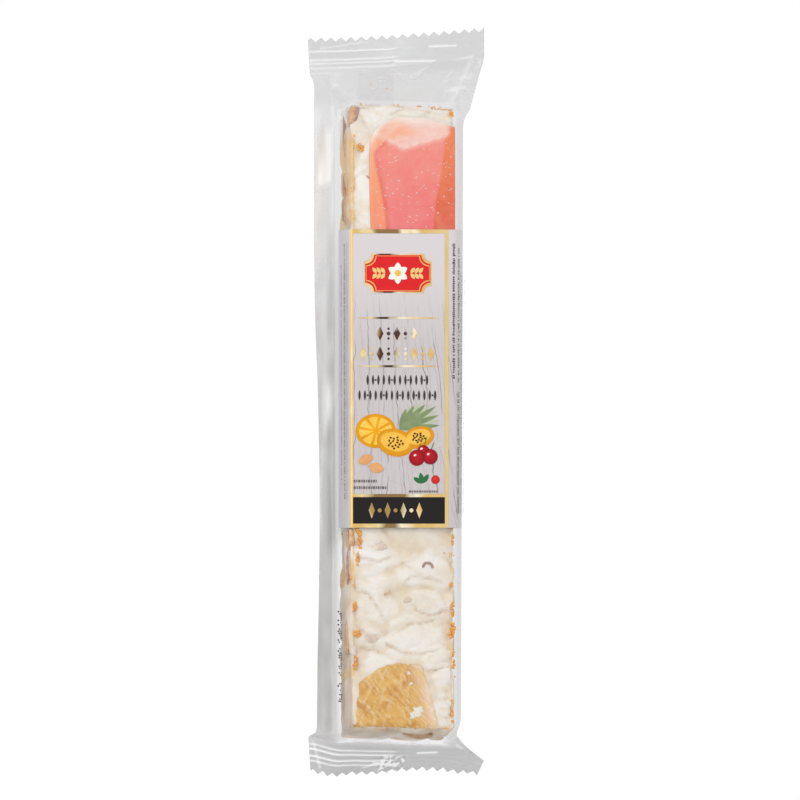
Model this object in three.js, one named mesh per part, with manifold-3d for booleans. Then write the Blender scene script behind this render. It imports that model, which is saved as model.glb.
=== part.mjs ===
// A soft nougat bar in its clear flow-wrap pack, lying on its back.
// Millimetres, +X across the bar, +Y along it towards the end that was up, +Z up out of the printed front.
// The pack is one closed solid: film drawn round a rectangular bar, with a slack fold down the left side,
// a ribbed crimp with a zigzag cut at each end, and the lengthwise fin seal laid flat on the back. Where the
// pack lies on it the fin is pressed flush into the soft bar; on the sloping ends it stands proud.

import * as THREE from 'three';
import { mergeVertices } from 'three/addons/utils/BufferGeometryUtils.js';
import Module from 'manifold-3d';

// The bar inside, which sets the size of everything else.
const BAR_WIDTH = 29.3;
const BAR_LENGTH = 172;
const BAR_HEIGHT = 16.5;

// Film round the bar: how far it stands off, and its slack at each side.
const FILM_GAP = 0.35;
const FIN_THICK = 0.3;
const UNDERSIDE = 0;
const FRONT = UNDERSIDE + BAR_HEIGHT + 2 * FILM_GAP;
const SIDE = BAR_WIDTH / 2 + FILM_GAP;
const EAR_REACH = 6.45;
const EAR_WAVE = 0.85;
const EAR_HALF_WAVE = 107;
const EAR_HEIGHT = 6.2;
const EAR_HOLLOW = 1.1;
const EAR_HOLLOW_HEIGHT = 7.2;
const BULGE_REACH = 2;
const BULGE_TAPER = 0.0035;
const BULGE_HEIGHT = 12.5;
const HOLLOW_ROUND = 2.2;
const FRONT_ROUND = 1.4;
const BACK_ROUND = 1.1;

// Ends of the bar along Y.
const BAR_TOP = 79;
const BAR_BOTTOM = BAR_TOP - BAR_LENGTH;

// End crimps.
const SEAL_WIDTH = 49;
const SEAL_THICK = 0.5;
const TEETH = 17.5;
const TOOTH_DEPTH = 1.25;
const RIBS = 5;
const RIB_PITCH = 1.4;
const RIB_HEIGHT = 0.22;
const RIBS_START = 0.5;
const EDGE_SHARPNESS = 6;

// Top crimp: sealed and cut a little askew, and gently waved.
const TOP_SEAL_DEPTH = 9.5;
const TOP_DEPTH_SKEW = -0.035;
const TOP_SEAL_Y = 91.6;
const TOP_SEAL_SKEW = 0.1265;
const TOP_SEAL_Z = 8;
const TOP_SEAL_WAVE = 0.9;

// Bottom crimp: droops to the surface that the pack lies on, more steeply at its right.
const BOTTOM_SEAL_DEPTH = 9.8;
const BOTTOM_SEAL_Y = -95.8;
const BOTTOM_SEAL_Z = 9.7;
const BOTTOM_LEFT_SET_BACK = 0.4;
const BOTTOM_RIGHT_SET_BACK = 2.6;
const BOTTOM_DROOP = THREE.MathUtils.degToRad(50);
const BOTTOM_LEFT_EASE = THREE.MathUtils.degToRad(6);
const BOTTOM_RIGHT_TWIST = THREE.MathUtils.degToRad(16);

// Fin seal on the back, folded flat from its root towards -X.
const FIN_BITE = 0.2;

// Mesh steps along each stretch of the pack, from the bottom crimp up.
const COLUMNS = 2 * TEETH;
const FIN_FIRST_COLUMN = 10;
const FIN_COLUMNS = 7;
const FIN_ROWS = 4;
const FIN_FROM_SEAL = 0.6;
const FIN_FROM_BODY = 0.3;
const ROWS = { bottomSeal: 12, bottomShoulder: 3, body: 12, topShoulder: 4, topSeal: 12 };
const ROW_COUNT = Object.values(ROWS).reduce((sum, rows) => sum + rows, 0);

const HALF_SEAL = SEAL_WIDTH / 2;
const lerp = THREE.MathUtils.lerp;

// A line through the corners with each inner corner rounded by its own radius.
function roundedPath(corners) {
  const path = new THREE.Path();
  path.moveTo(corners[0].x, corners[0].z);
  for (let i = 1; i < corners.length - 1; i++) {
    const here = new THREE.Vector2(corners[i].x, corners[i].z);
    const before = new THREE.Vector2(corners[i - 1].x, corners[i - 1].z);
    const after = new THREE.Vector2(corners[i + 1].x, corners[i + 1].z);
    const start = before.sub(here).setLength(corners[i].round).add(here);
    const end = after.sub(here).setLength(corners[i].round).add(here);
    path.lineTo(start.x, start.y);
    path.quadraticCurveTo(here.x, here.y, end.x, end.y);
  }
  const last = corners[corners.length - 1];
  path.lineTo(last.x, last.z);
  return path;
}

// The slack fold at the left swings in and out a little along the pack.
function earTip(y) {
  const swing = Math.cos((Math.PI * (BAR_TOP - y)) / EAR_HALF_WAVE);
  return { x: -SIDE - EAR_REACH - EAR_WAVE * swing, z: EAR_HEIGHT };
}

// At the right the film only bulges.
function rightFold(y) {
  return { x: SIDE + BULGE_REACH + BULGE_TAPER * y, z: BULGE_HEIGHT };
}

// Film over the front, from the left fold to the right one, at one place along the bar.
function frontPath(y) {
  return roundedPath([
    earTip(y),
    { x: -SIDE - EAR_HOLLOW, z: EAR_HOLLOW_HEIGHT, round: HOLLOW_ROUND },
    { x: -SIDE, z: FRONT, round: FRONT_ROUND },
    { x: SIDE, z: FRONT, round: FRONT_ROUND },
    rightFold(y),
  ]);
}

// Film under the back, from the left fold to the right one.
function backPath(y) {
  return roundedPath([
    earTip(y),
    { x: -SIDE, z: UNDERSIDE, round: BACK_ROUND },
    { x: SIDE, z: UNDERSIDE, round: BACK_ROUND },
    rightFold(y),
  ]);
}

// A point of the film round the bar: across runs 0 to 1 from the left fold to the right one.
function bodyPoint(across, front, y) {
  const path = front ? frontPath(y) : backPath(y);
  const point = path.getPointAt(across);
  return new THREE.Vector3(point.x, y, point.y);
}

// Height of the crimp's ribs at a distance out from its inner line.
function ribHeight(out) {
  const phase = (out - RIBS_START) / RIB_PITCH;
  if (phase <= 0 || phase >= RIBS) return 0;
  return RIB_HEIGHT * Math.sin(2 * Math.PI * phase);
}

// Inner line, outward direction and depth of a crimp at x.
function sealLine(top, x) {
  const side = x / HALF_SEAL;
  if (top) {
    const z = TOP_SEAL_Z + TOP_SEAL_WAVE * Math.sin(Math.PI * side);
    return {
      start: new THREE.Vector3(x, TOP_SEAL_Y + TOP_SEAL_SKEW * x, z),
      out: new THREE.Vector3(0, 1, 0),
      depth: TOP_SEAL_DEPTH + TOP_DEPTH_SKEW * x,
    };
  }
  const setBack = side < 0 ? BOTTOM_LEFT_SET_BACK : BOTTOM_RIGHT_SET_BACK;
  const turn = side < 0 ? -BOTTOM_LEFT_EASE : BOTTOM_RIGHT_TWIST;
  const droop = BOTTOM_DROOP + turn * side * side;
  return {
    start: new THREE.Vector3(x, BOTTOM_SEAL_Y - setBack * side * side, BOTTOM_SEAL_Z),
    out: new THREE.Vector3(0, -Math.cos(droop), -Math.sin(droop)),
    depth: BOTTOM_SEAL_DEPTH,
  };
}

// A point of a crimp's front or back face: way runs 0 to 1 from its inner line to its cut edge.
function sealPoint(top, across, front, way) {
  const x = lerp(-HALF_SEAL, HALF_SEAL, across);
  const line = sealLine(top, x);
  const notch = TOOTH_DEPTH * (0.5 + 0.5 * Math.cos(2 * Math.PI * TEETH * across));
  const out = way * (line.depth - notch * way ** EDGE_SHARPNESS);
  const normal = new THREE.Vector3(0, -line.out.z, line.out.y);
  if (!top) normal.negate();
  const lift = ribHeight(out) + (front ? 0.5 : -0.5) * SEAL_THICK;
  return line.start.addScaledVector(line.out, out).addScaledVector(normal, lift);
}

// A point of the film between the bar's end and the crimp: straight lines from one to the other.
function shoulderPoint(top, across, front, way) {
  const barEnd = top ? BAR_TOP + FILM_GAP : BAR_BOTTOM - FILM_GAP;
  return bodyPoint(across, front, barEnd).lerp(sealPoint(top, across, front, 0), way);
}

// The whole film, by rows from the bottom crimp's cut edge to the top one's.
function filmPoint(across, front, row) {
  let left = row;
  if (left <= ROWS.bottomSeal) {
    return sealPoint(false, across, front, 1 - left / ROWS.bottomSeal);
  }
  left -= ROWS.bottomSeal;
  if (left <= ROWS.bottomShoulder) {
    return shoulderPoint(false, across, front, 1 - left / ROWS.bottomShoulder);
  }
  left -= ROWS.bottomShoulder;
  if (left <= ROWS.body) {
    const y = lerp(BAR_BOTTOM - FILM_GAP, BAR_TOP + FILM_GAP, left / ROWS.body);
    return bodyPoint(across, front, y);
  }
  left -= ROWS.body;
  if (left <= ROWS.topShoulder) {
    return shoulderPoint(true, across, front, left / ROWS.topShoulder);
  }
  return sealPoint(true, across, front, (left - ROWS.topShoulder) / ROWS.topSeal);
}

// A closed box of unit size, each of whose corners on the grid is moved by a rule.
function shapedBox(columns, rows, place) {
  const box = new THREE.BoxGeometry(1, 1, 1, columns, rows, 1);
  box.deleteAttribute('normal');
  box.deleteAttribute('uv');
  const geometry = mergeVertices(box, 1e-4);
  const position = geometry.getAttribute('position');
  for (let i = 0; i < position.count; i++) {
    const across = position.getX(i) + 0.5;
    const along = position.getY(i) + 0.5;
    const point = place(across, along, position.getZ(i) > 0);
    position.setXYZ(i, point.x, point.y, point.z);
  }
  return geometry;
}

function filmGeometry() {
  return shapedBox(COLUMNS, ROW_COUNT, (across, along, front) => {
    const row = Math.round(along * ROW_COUNT);
    return filmPoint(across, front, row);
  });
}

// The fin stands proud on the back of a shoulder, between two rows.
function finGeometry(firstRow, lastRow) {
  return shapedBox(FIN_COLUMNS, FIN_ROWS, (across, along, inner) => {
    const share = (FIN_FIRST_COLUMN + Math.round(across * FIN_COLUMNS)) / COLUMNS;
    const row = lerp(firstRow, lastRow, along);
    const point = filmPoint(share, false, row);
    const sideways = filmPoint(share + 0.01, false, row).sub(filmPoint(share - 0.01, false, row));
    const onwards = filmPoint(share, false, row + 0.1).sub(filmPoint(share, false, row - 0.1));
    const outwards = onwards.cross(sideways).normalize();
    return point.addScaledVector(outwards, inner ? -FIN_BITE : FIN_THICK);
  });
}

const wasm = await Module();
wasm.setup();

function toSolid(geometry) {
  return new wasm.Manifold(new wasm.Mesh({
    numProp: 3,
    vertProperties: geometry.getAttribute('position').array,
    triVerts: new Uint32Array(geometry.getIndex().array),
  }));
}

function toGeometry(solid) {
  const mesh = solid.getMesh();
  const geometry = new THREE.BufferGeometry();
  geometry.setAttribute('position', new THREE.BufferAttribute(mesh.vertProperties, 3));
  geometry.setIndex(new THREE.BufferAttribute(mesh.triVerts, 1));
  geometry.computeVertexNormals();
  return geometry;
}

function packMesh() {
  const bodyStart = ROWS.bottomSeal + ROWS.bottomShoulder;
  const bodyEnd = bodyStart + ROWS.body;
  const bottomFin = toSolid(finGeometry(ROWS.bottomSeal + FIN_FROM_SEAL, bodyStart - FIN_FROM_BODY));
  const topFin = toSolid(finGeometry(bodyEnd + FIN_FROM_BODY, bodyEnd + ROWS.topShoulder - FIN_FROM_SEAL));
  const geometry = toGeometry(toSolid(filmGeometry()).add(bottomFin).add(topFin));
  geometry.computeBoundingBox();
  const middle = geometry.boundingBox.getCenter(new THREE.Vector3());
  geometry.translate(-middle.x, -middle.y, -geometry.boundingBox.min.z);
  const material = new THREE.MeshStandardMaterial({ color: 0xe6dccd, roughness: 0.3, metalness: 0 });
  const mesh = new THREE.Mesh(geometry, material);
  mesh.name = 'nougat_pack';
  return mesh;
}

const group = new THREE.Group();
group.add(packMesh());

export default group;
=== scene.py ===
import math
import random
from functools import lru_cache

import bmesh
import bpy
from bpy.props import FloatProperty, FloatVectorProperty, IntProperty, PointerProperty
from mathutils import Matrix, Vector, noise


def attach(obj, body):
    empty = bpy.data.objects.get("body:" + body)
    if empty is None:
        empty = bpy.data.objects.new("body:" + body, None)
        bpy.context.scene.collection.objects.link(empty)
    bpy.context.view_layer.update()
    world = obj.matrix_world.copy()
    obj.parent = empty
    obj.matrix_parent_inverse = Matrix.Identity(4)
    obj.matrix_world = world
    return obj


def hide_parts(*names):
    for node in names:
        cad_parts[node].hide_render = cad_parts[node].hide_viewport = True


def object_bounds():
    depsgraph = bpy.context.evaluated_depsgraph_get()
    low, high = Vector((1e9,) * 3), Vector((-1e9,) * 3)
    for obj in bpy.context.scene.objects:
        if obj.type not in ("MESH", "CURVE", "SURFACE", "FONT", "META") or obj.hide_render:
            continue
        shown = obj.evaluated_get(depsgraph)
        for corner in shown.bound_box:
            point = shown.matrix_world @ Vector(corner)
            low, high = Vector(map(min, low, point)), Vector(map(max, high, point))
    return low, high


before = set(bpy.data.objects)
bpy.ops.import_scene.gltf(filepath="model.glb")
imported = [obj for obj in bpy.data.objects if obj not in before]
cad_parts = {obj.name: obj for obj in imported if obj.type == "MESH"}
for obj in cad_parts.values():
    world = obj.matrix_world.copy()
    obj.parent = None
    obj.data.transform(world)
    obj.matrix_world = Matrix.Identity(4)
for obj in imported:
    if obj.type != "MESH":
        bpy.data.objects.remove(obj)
CAD_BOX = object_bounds()

bl_info = {
    "name": "Nougat bar in clear film",
    "version": (1, 0, 0),
    "blender": (4, 5, 0),
    "location": "View3D > Sidebar > Nougat",
    "description": "Builds a wrapped nougat bar: its sweets, fruit, nuts, printed band and clear film",
    "category": "Add Mesh",
}

# Everything is shaped in millimetres and brought to metres as a piece is finished.
MM = 0.001
PACK = "nougat_pack"
LOW, HIGH = [[side / MM for side in corner] for corner in CAD_BOX]
BOX_HEIGHT = HIGH[2] - LOW[2]
SEAL_WIDTH = HIGH[0] - LOW[0]


def linear(red, green, blue):
    """A colour as seen on a screen, 0 to 255, as the linear colour that the shaders take."""
    def channel(value):
        share = value / 255
        return share / 12.92 if share <= 0.04045 else ((share + 0.055) / 1.055) ** 2.4
    return (channel(red), channel(green), channel(blue))


def smooth(low, high, value):
    """0 below low, 1 above high, with a soft step between."""
    share = min(max((value - low) / (high - low), 0.0), 1.0)
    return share * share * (3 - 2 * share)


def blend(start, end, share):
    return start + (end - start) * share


class NougatSizes(bpy.types.PropertyGroup):
    """The sizes of the bar and its film, all in millimetres."""
    bar_width: FloatProperty(name="Bar width", description="Across the front of the bar", default=29.3)
    bar_length: FloatProperty(name="Bar length", description="From end to end of the bar", default=172.0)
    bar_top: FloatProperty(name="Bar top", description="Where the bar's upper end lies along Y", default=80.0)
    film_gap: FloatProperty(name="Film gap", description="How far the film stands off the bar", default=0.35)
    seal_thick: FloatProperty(name="Crimp thickness", description="Both films of a crimp", default=0.3)
    marbling: FloatProperty(name="Fold size", description="Breadth of a fold in the nougat", default=13.0)
    relief: FloatProperty(name="Fold depth", description="How deep the folds go", default=0.8)
    sugar_grains: IntProperty(name="Sugar grains", description="Grains on the pink fruit", default=210)


class NougatColours(bpy.types.PropertyGroup):
    """The colours that a user would change."""
    nougat: FloatVectorProperty(name="Nougat", description="Folded white sweet", subtype="COLOR",
                                default=linear(248, 244, 237))
    # Cream is shown where the nougat lies low, so besides its own tone it also serves as painted shade there.
    cream: FloatVectorProperty(name="Cream", description="Warmer nougat in the folds", subtype="COLOR",
                               default=linear(233, 218, 193))
    pink: FloatVectorProperty(name="Pink fruit", description="Front of the candied fruit", subtype="COLOR",
                              default=linear(249, 138, 124))
    amber: FloatVectorProperty(name="Amber fruit", description="Candied fruit at the foot", subtype="COLOR",
                               default=linear(214, 154, 54))
    emblem: FloatVectorProperty(name="Emblem", description="Field of the emblem", subtype="COLOR",
                                default=linear(222, 34, 38))
    gold: FloatVectorProperty(name="Gold", description="Foil of the frame and rules", subtype="COLOR",
                              default=linear(222, 184, 104))


# Slack and folds of the film. The fold at the left reaches less far along its middle.
EAR_REACH, EAR_UPPER, EAR_LOWER, EAR_FLARE, EAR_HEIGHT = 5.95, 1.7, 0.75, 2.6, 6.2
EAR_HOLLOW, EAR_HOLLOW_HEIGHT = 1.1, 7.2
BULGE_REACH, BULGE_TAPER, BULGE_HEIGHT, BULGE_PINCH, BULGE_FLARE = 2.3, 0.004, 12.5, 2.0, 2.1
HOLLOW_ROUND, FRONT_ROUND, BACK_ROUND = 2.2, 1.4, 1.1
ARC_STEPS = 8
FILM_TOP, FILM_BOTTOM = 80.35, -93.35

# Crimps: a zigzag cut, ribs, and how each end lies.
TOOTH_PITCH, TOOTH_DEPTH, EDGE_SHARPNESS = 2.84, 1.2, 6
# Ribs of each crimp: how far out from its inner line, and height as a share of the highest.
TOP_RIBS = [(-0.5, 0.5), (1.0, 0.6), (2.3, 0.7), (3.3, 0.9), (5.7, 1.0)]
BOTTOM_RIBS = [(1.9, 0.8), (3.2, 1.0), (5.1, 0.9), (6.5, 0.7)]
RIB_HEIGHT, RIB_BREADTH, RIB_FAN, RIB_FADE = 0.28, 0.3, 0.06, 0.92
# The crinkled patch of the bottom crimp: its middle along X, and how much it stands up.
SCRUNCH_X, SCRUNCH_HEIGHT = -0.9, 0.22
TOP_LEFT, TOP_RIGHT, TOP_TAPER = -24.7, 24.4, 0.6
TOP_SEAL_Y, TOP_SEAL_SKEW, TOP_SEAL_Z, TOP_SEAL_WAVE = 91.7, 0.135, 8.0, 0.9
TOP_CUT_Y, TOP_CUT_SKEW, TOP_CUT_BEND, TOP_CUT_SWEEP = 100.6, 0.084, 0.00085, 0.000018
BOTTOM_LEFT, BOTTOM_RIGHT, BOTTOM_TAPER = -24.8, 23.9, 1.2
BOTTOM_SEAL_DEPTH, BOTTOM_SEAL_Y, BOTTOM_SEAL_Z = 9.8, -95.7, 9.7
BOTTOM_LEFT_LIFT, BOTTOM_RIGHT_DROP = 1.7, 3.8
# How steeply the bottom crimp droops, in degrees, and where along X each further turn comes in.
BOTTOM_DROOP = 18
BOTTOM_TURNS = [(24, -24.5, -10.0), (14, -10.0, 8.0), (19, 17.0, 24.4)]
FIN_FIRST, FIN_LAST, FIN_SHARES = 10, 17, 35

# Mesh steps of the film: round the girth, and along each stretch from the bottom crimp up.
FILM_COLUMNS = 170
FILM_ROWS = {"bottom_seal": 50, "bottom_shoulder": 20, "body": 130, "top_shoulder": 36, "top_seal": 54}


def rounded(corners):
    """A line through (x, z, radius) corners, with each inner corner rounded."""
    points = [Vector(corners[0][:2])]
    for before, here, after in zip(corners, corners[1:], corners[2:]):
        middle = Vector(here[:2])
        start = middle + (Vector(before[:2]) - middle).normalized() * here[2]
        end = middle + (Vector(after[:2]) - middle).normalized() * here[2]
        for step in range(ARC_STEPS + 1):
            share = step / ARC_STEPS
            points.append(start.lerp(middle, share).lerp(middle.lerp(end, share), share))
    points.append(Vector(corners[-1][:2]))
    return points


class Line:
    """A line of (x, z) points that can be read by distance along it."""

    def __init__(self, points):
        self.points = points
        self.reach = [0.0]
        for here, after in zip(points, points[1:]):
            self.reach.append(self.reach[-1] + (after - here).length)

    def at(self, distance):
        """The point at a distance along the line, and the line's direction there."""
        distance = min(max(distance, 0.0), self.reach[-1])
        index = 1
        while self.reach[index] < distance and index < len(self.reach) - 1:
            index += 1
        start, end = self.points[index - 1], self.points[index]
        span = self.reach[index] - self.reach[index - 1]
        share = (distance - self.reach[index - 1]) / span if span > 1e-9 else 0.0
        return start.lerp(end, share), (end - start).normalized()

    def share(self, portion):
        return self.at(portion * self.reach[-1])


def sizes():
    return bpy.context.scene.nougat_sizes


def colours():
    return bpy.context.scene.nougat_colours


@lru_cache(maxsize=None)
def sections(slice_index):
    """Front line, back line and whole loop of the film, at one of the half-millimetre slices along Y."""
    y = slice_index / 2
    size = sizes()
    side = size.bar_width / 2 + size.film_gap
    middle = EAR_UPPER * smooth(-28, 45, y) + EAR_LOWER * smooth(-28, -95, y)
    reach = EAR_REACH + middle + EAR_FLARE * smooth(-91.5, -94, y)
    ear = (-side - reach, EAR_HEIGHT)
    ends = BULGE_FLARE * smooth(75.5, 81, y) - BULGE_PINCH * smooth(-88, -95, y)
    fold = (side + BULGE_REACH + BULGE_TAPER * y + ends, BULGE_HEIGHT)
    front = Line(rounded([
        ear, (-side - EAR_HOLLOW, EAR_HOLLOW_HEIGHT, HOLLOW_ROUND),
        (-side, BOX_HEIGHT, FRONT_ROUND), (side, BOX_HEIGHT, FRONT_ROUND), fold]))
    back = Line(rounded([
        ear, (-side, 0, BACK_ROUND), (side, 0, BACK_ROUND), fold]))
    loop = Line(front.points + back.points[-2::-1])
    flat_starts = -side + FRONT_ROUND - 1e-6
    corner = next(along for point, along in zip(front.points, front.reach) if point.x >= flat_starts)
    return front, back, loop, corner + side - FRONT_ROUND


def slices(y):
    return sections(round(y * 2))


def bar_end(top):
    """Where the film leaves the bar."""
    return FILM_TOP if top else FILM_BOTTOM


def wobble(point, size, seed):
    """Smooth noise from -1 to 1 whose waves are about size millimetres long."""
    return noise.noise(Vector(point) / size + Vector((seed, seed * 0.7, -seed)))


def ear_wrinkle(x, y):
    """How far the slack fold at the left is pushed in or out."""
    slack = smooth(-15.5, -17.5, x)
    long_wave = wobble((x * 0.5, y * 0.6, 0), 9, 3.1) * 0.7
    lengthwise = wobble((x, y * 0.12, 0), 3.0, 5.5) * 0.45
    short_wave = wobble((x, y * 0.45, 0), 3.4, 8.7) * 0.25
    return slack * (long_wave + lengthwise + short_wave)


def body_point(across, front, y):
    """A point of the film round the bar: across runs 0 to 1 from the left fold to the right one."""
    front_line, back_line, _, _ = slices(y)
    point, _ = (front_line if front else back_line).share(across)
    push = ear_wrinkle(point.x, y)
    if point.x < 0:
        point = point + Vector((0, push * (0.7 if front else 0.5)))
    return Vector((point.x, y, point.y))


def rib_height(top, x, out):
    """How far a crimp's ribs stand up, 0 to 1: strong where the fin doubles the film, faint beside it."""
    at = out + 0.3 * wobble((x, 0, 0), 9, 6.0) + (RIB_FAN * (x + 12) if top else 0.0)
    ribs = TOP_RIBS if top else BOTTOM_RIBS
    strength = 1 - RIB_FADE * smooth(-1.5, 1.5, x)
    return strength * max(high * math.exp(-((at - line) / RIB_BREADTH) ** 2) for line, high in ribs)


def seal_line(top, across, way):
    """A crimp's inner line, outward way and depth, at a share across it and of the way to its cut."""
    if top:
        x = blend(TOP_LEFT + TOP_TAPER * (1 - way), TOP_RIGHT, across)
        wave = TOP_SEAL_WAVE * math.sin(2 * math.pi * x / SEAL_WIDTH)
        start = Vector((x, TOP_SEAL_Y + TOP_SEAL_SKEW * x, TOP_SEAL_Z + wave))
        cut = TOP_CUT_Y + x * (TOP_CUT_SKEW + x * (TOP_CUT_BEND + x * TOP_CUT_SWEEP))
        return start, Vector((0, 1, 0)), cut - start.y
    x = blend(BOTTOM_LEFT + BOTTOM_TAPER * way, BOTTOM_RIGHT, across)
    droop = math.radians(BOTTOM_DROOP + sum(turn * smooth(low, high, x) for turn, low, high in BOTTOM_TURNS))
    lift = BOTTOM_LEFT_LIFT * smooth(-15, -24.5, x) - BOTTOM_RIGHT_DROP * max(0.0, (x - 13) / 11.4) ** 2
    start = Vector((x, BOTTOM_SEAL_Y + lift, BOTTOM_SEAL_Z))
    return start, Vector((0, -math.cos(droop), -math.sin(droop))), BOTTOM_SEAL_DEPTH


def scrunch_height(top, x, out):
    """A patch of sharp crinkles near the middle of the bottom crimp's cut edge, -1 to 1."""
    if top:
        return 0.0
    return wobble((x * 1.6, out, 3), 1.6, 2.0) * smooth(4.5, 2.5, abs(x - SCRUNCH_X)) * smooth(2.6, 4.4, out)


def crimp_relief(top, x, out):
    """Ribs of a crimp, with a little crinkle and swell."""
    crinkle = 0.08 * wobble((x, out * 2.0, 5 if top else 15), 3.2, 1.3) * smooth(0, 2, out)
    swell = 0.25 * wobble((x, out, 8 if top else 18), 9, 4.3) * smooth(0, 3, out)
    scrunch = SCRUNCH_HEIGHT * scrunch_height(top, x, out)
    return RIB_HEIGHT * rib_height(top, x, out) + crinkle + swell + scrunch


def seal_point(top, across, front, way):
    """A point of a crimp's face: way runs 0 to 1 from its inner line to its cut edge."""
    start, out_way, depth = seal_line(top, across, way)
    right = TOP_RIGHT if top else BOTTOM_RIGHT
    teeth_in = (right - start.x) / TOOTH_PITCH
    deeper = 1.0 if top else blend(1.0, 1.7, smooth(-2, 14, start.x))
    notch = TOOTH_DEPTH * deeper * (1 - abs(2 * (teeth_in % 1) - 1))
    out = way * (depth - notch * way ** EDGE_SHARPNESS)
    normal = Vector((0, -out_way.z, out_way.y)) * (1 if top else -1)
    at_edge = min(across, 1 - across, 1 - way) < 1e-6
    half = 0 if at_edge else sizes().seal_thick * (0.5 if front else -0.5)
    return start + out_way * out + normal * (crimp_relief(top, start.x, out) + half)


# Creases of the film from the bar's end to the crimp: x and way where each starts and ends, height, breadth.
TOP_CREASES = [
    (-13.0, 0.05, -19.0, 0.9, 0.5, 2.0), (13.5, 0.05, 20.5, 0.95, 0.6, 1.6),
    (-9.0, 0.3, -3.5, 1.0, 0.25, 1.6), (-1.6, 0.94, 2.2, 0.62, 0.42, 0.6),
    (3.0, 0.68, 9.6, 0.95, 0.55, 0.4), (12.4, 0.56, 14.8, 0.74, 0.6, 0.4),
    (12.0, 0.32, 18.0, 0.36, 0.5, 0.35), (18.0, 0.36, 19.6, 0.2, 0.5, 0.35),
    (-2.0, 0.45, 5.5, 0.75, -0.2, 1.8), (-6.0, 0.7, 12.0, 0.8, 0.25, 0.9),
    (4.0, 0.2, 12.0, 0.5, -0.25, 1.4),
]
BOTTOM_CREASES = [
    (-15.0, 0.75, -1.0, 0.12, 0.8, 1.6), (-1.0, 0.12, 7.0, 0.55, 0.7, 1.2),
    (7.0, 0.55, 16.0, 0.75, 0.4, 1.4), (2.5, 0.95, 8.5, 0.2, -0.6, 1.3),
    (-12.0, 0.15, -19.0, 0.9, 0.5, 1.5), (13.0, 0.2, 19.0, 0.95, 0.5, 1.3),
]
TOP_JUT, BOTTOM_JUT = 5, 1.3
# Lines of the crimps that catch the light, given like the creases, with a tenth of the distance out as way.
TOP_GLINTS = [
    (-0.4, 0.145, 10.4, 0.034, 0.8, 0.28), (8.9, 0.448, 16.3, 0.395, 0.8, 0.28),
    (-21.0, 0.72, -8.0, 0.8, 0.4, 0.35), (14.5, -0.04, 21.0, 0.06, 0.5, 0.4),
]
BOTTOM_GLINTS = [
    (6.0, 0.24, 11.0, 0.2, 0.8, 0.5), (-6.0, 0.56, -1.0, 0.7, 0.5, 0.4),
    (-8.5, 0.74, -3.0, 0.52, 0.5, 0.4), (-23.5, 0.1, -21.0, 0.8, 0.4, 0.4),
]


def crease_push(creases, x, way):
    """Height of the film's creases at x, a share of the way from the bar's end to the crimp."""
    push = 0.0
    here = Vector((x, way * 10))
    for start_x, start_way, end_x, end_way, height, breadth in creases:
        start, end = Vector((start_x, start_way * 10)), Vector((end_x, end_way * 10))
        run = end - start
        share = min(max((here - start).dot(run) / run.length_squared, 0.0), 1.0)
        gap = (here - start - run * share).length / breadth
        push += height * math.exp(-gap * gap)
    return push


def shoulder_point(top, across, front, way):
    """A point of the film from the bar's end to the crimp. At the left the crimp juts past the fold."""
    start = body_point(across, front, bar_end(top))
    end = seal_point(top, across, front, 0)
    point = start.lerp(end, way)
    left_share = smooth(0.16, 0.0, across)
    point.x = blend(point.x, blend(start.x, end.x, way ** (TOP_JUT if top else BOTTOM_JUT)), left_share)
    belly = math.sin(math.pi * way)
    facing = 1 if front else -0.5
    creases = TOP_CREASES if top else BOTTOM_CREASES
    push = crease_push(creases, point.x, way) * belly * facing
    push += wobble((point.x, way * 8, 9 if front else 19), 5, 2.2) * 0.35 * belly
    lift = push * (1.0 if top else 0.55)
    return point + Vector((0, 0 if top else -0.5 * push, lift))


def film_stretch(row):
    """The stretch of the film that a row belongs to, and the share of the way up it."""
    left = row
    for stretch, rows in FILM_ROWS.items():
        if left <= rows:
            return stretch, left / rows
        left -= rows


def film_point(across, front, row):
    """The whole film, by rows from the bottom crimp's cut edge to the top one's."""
    stretch, way = film_stretch(row)
    if stretch == "bottom_seal":
        return seal_point(False, across, front, 1 - way)
    if stretch == "bottom_shoulder":
        return shoulder_point(False, across, front, 1 - way)
    if stretch == "body":
        return body_point(across, front, blend(bar_end(False), bar_end(True), way))
    if stretch == "top_shoulder":
        return shoulder_point(True, across, front, way)
    return seal_point(True, across, front, way)


# How bright the painted highlights on creases, ribs and crinkles are at most, 0 to 1.
CREASE_HIGHLIGHT, TOP_RIB_HIGHLIGHT, BOTTOM_RIB_HIGHLIGHT, SCRUNCH_HIGHLIGHT = 0.62, 0.75, 0.95, 0.95


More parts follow.
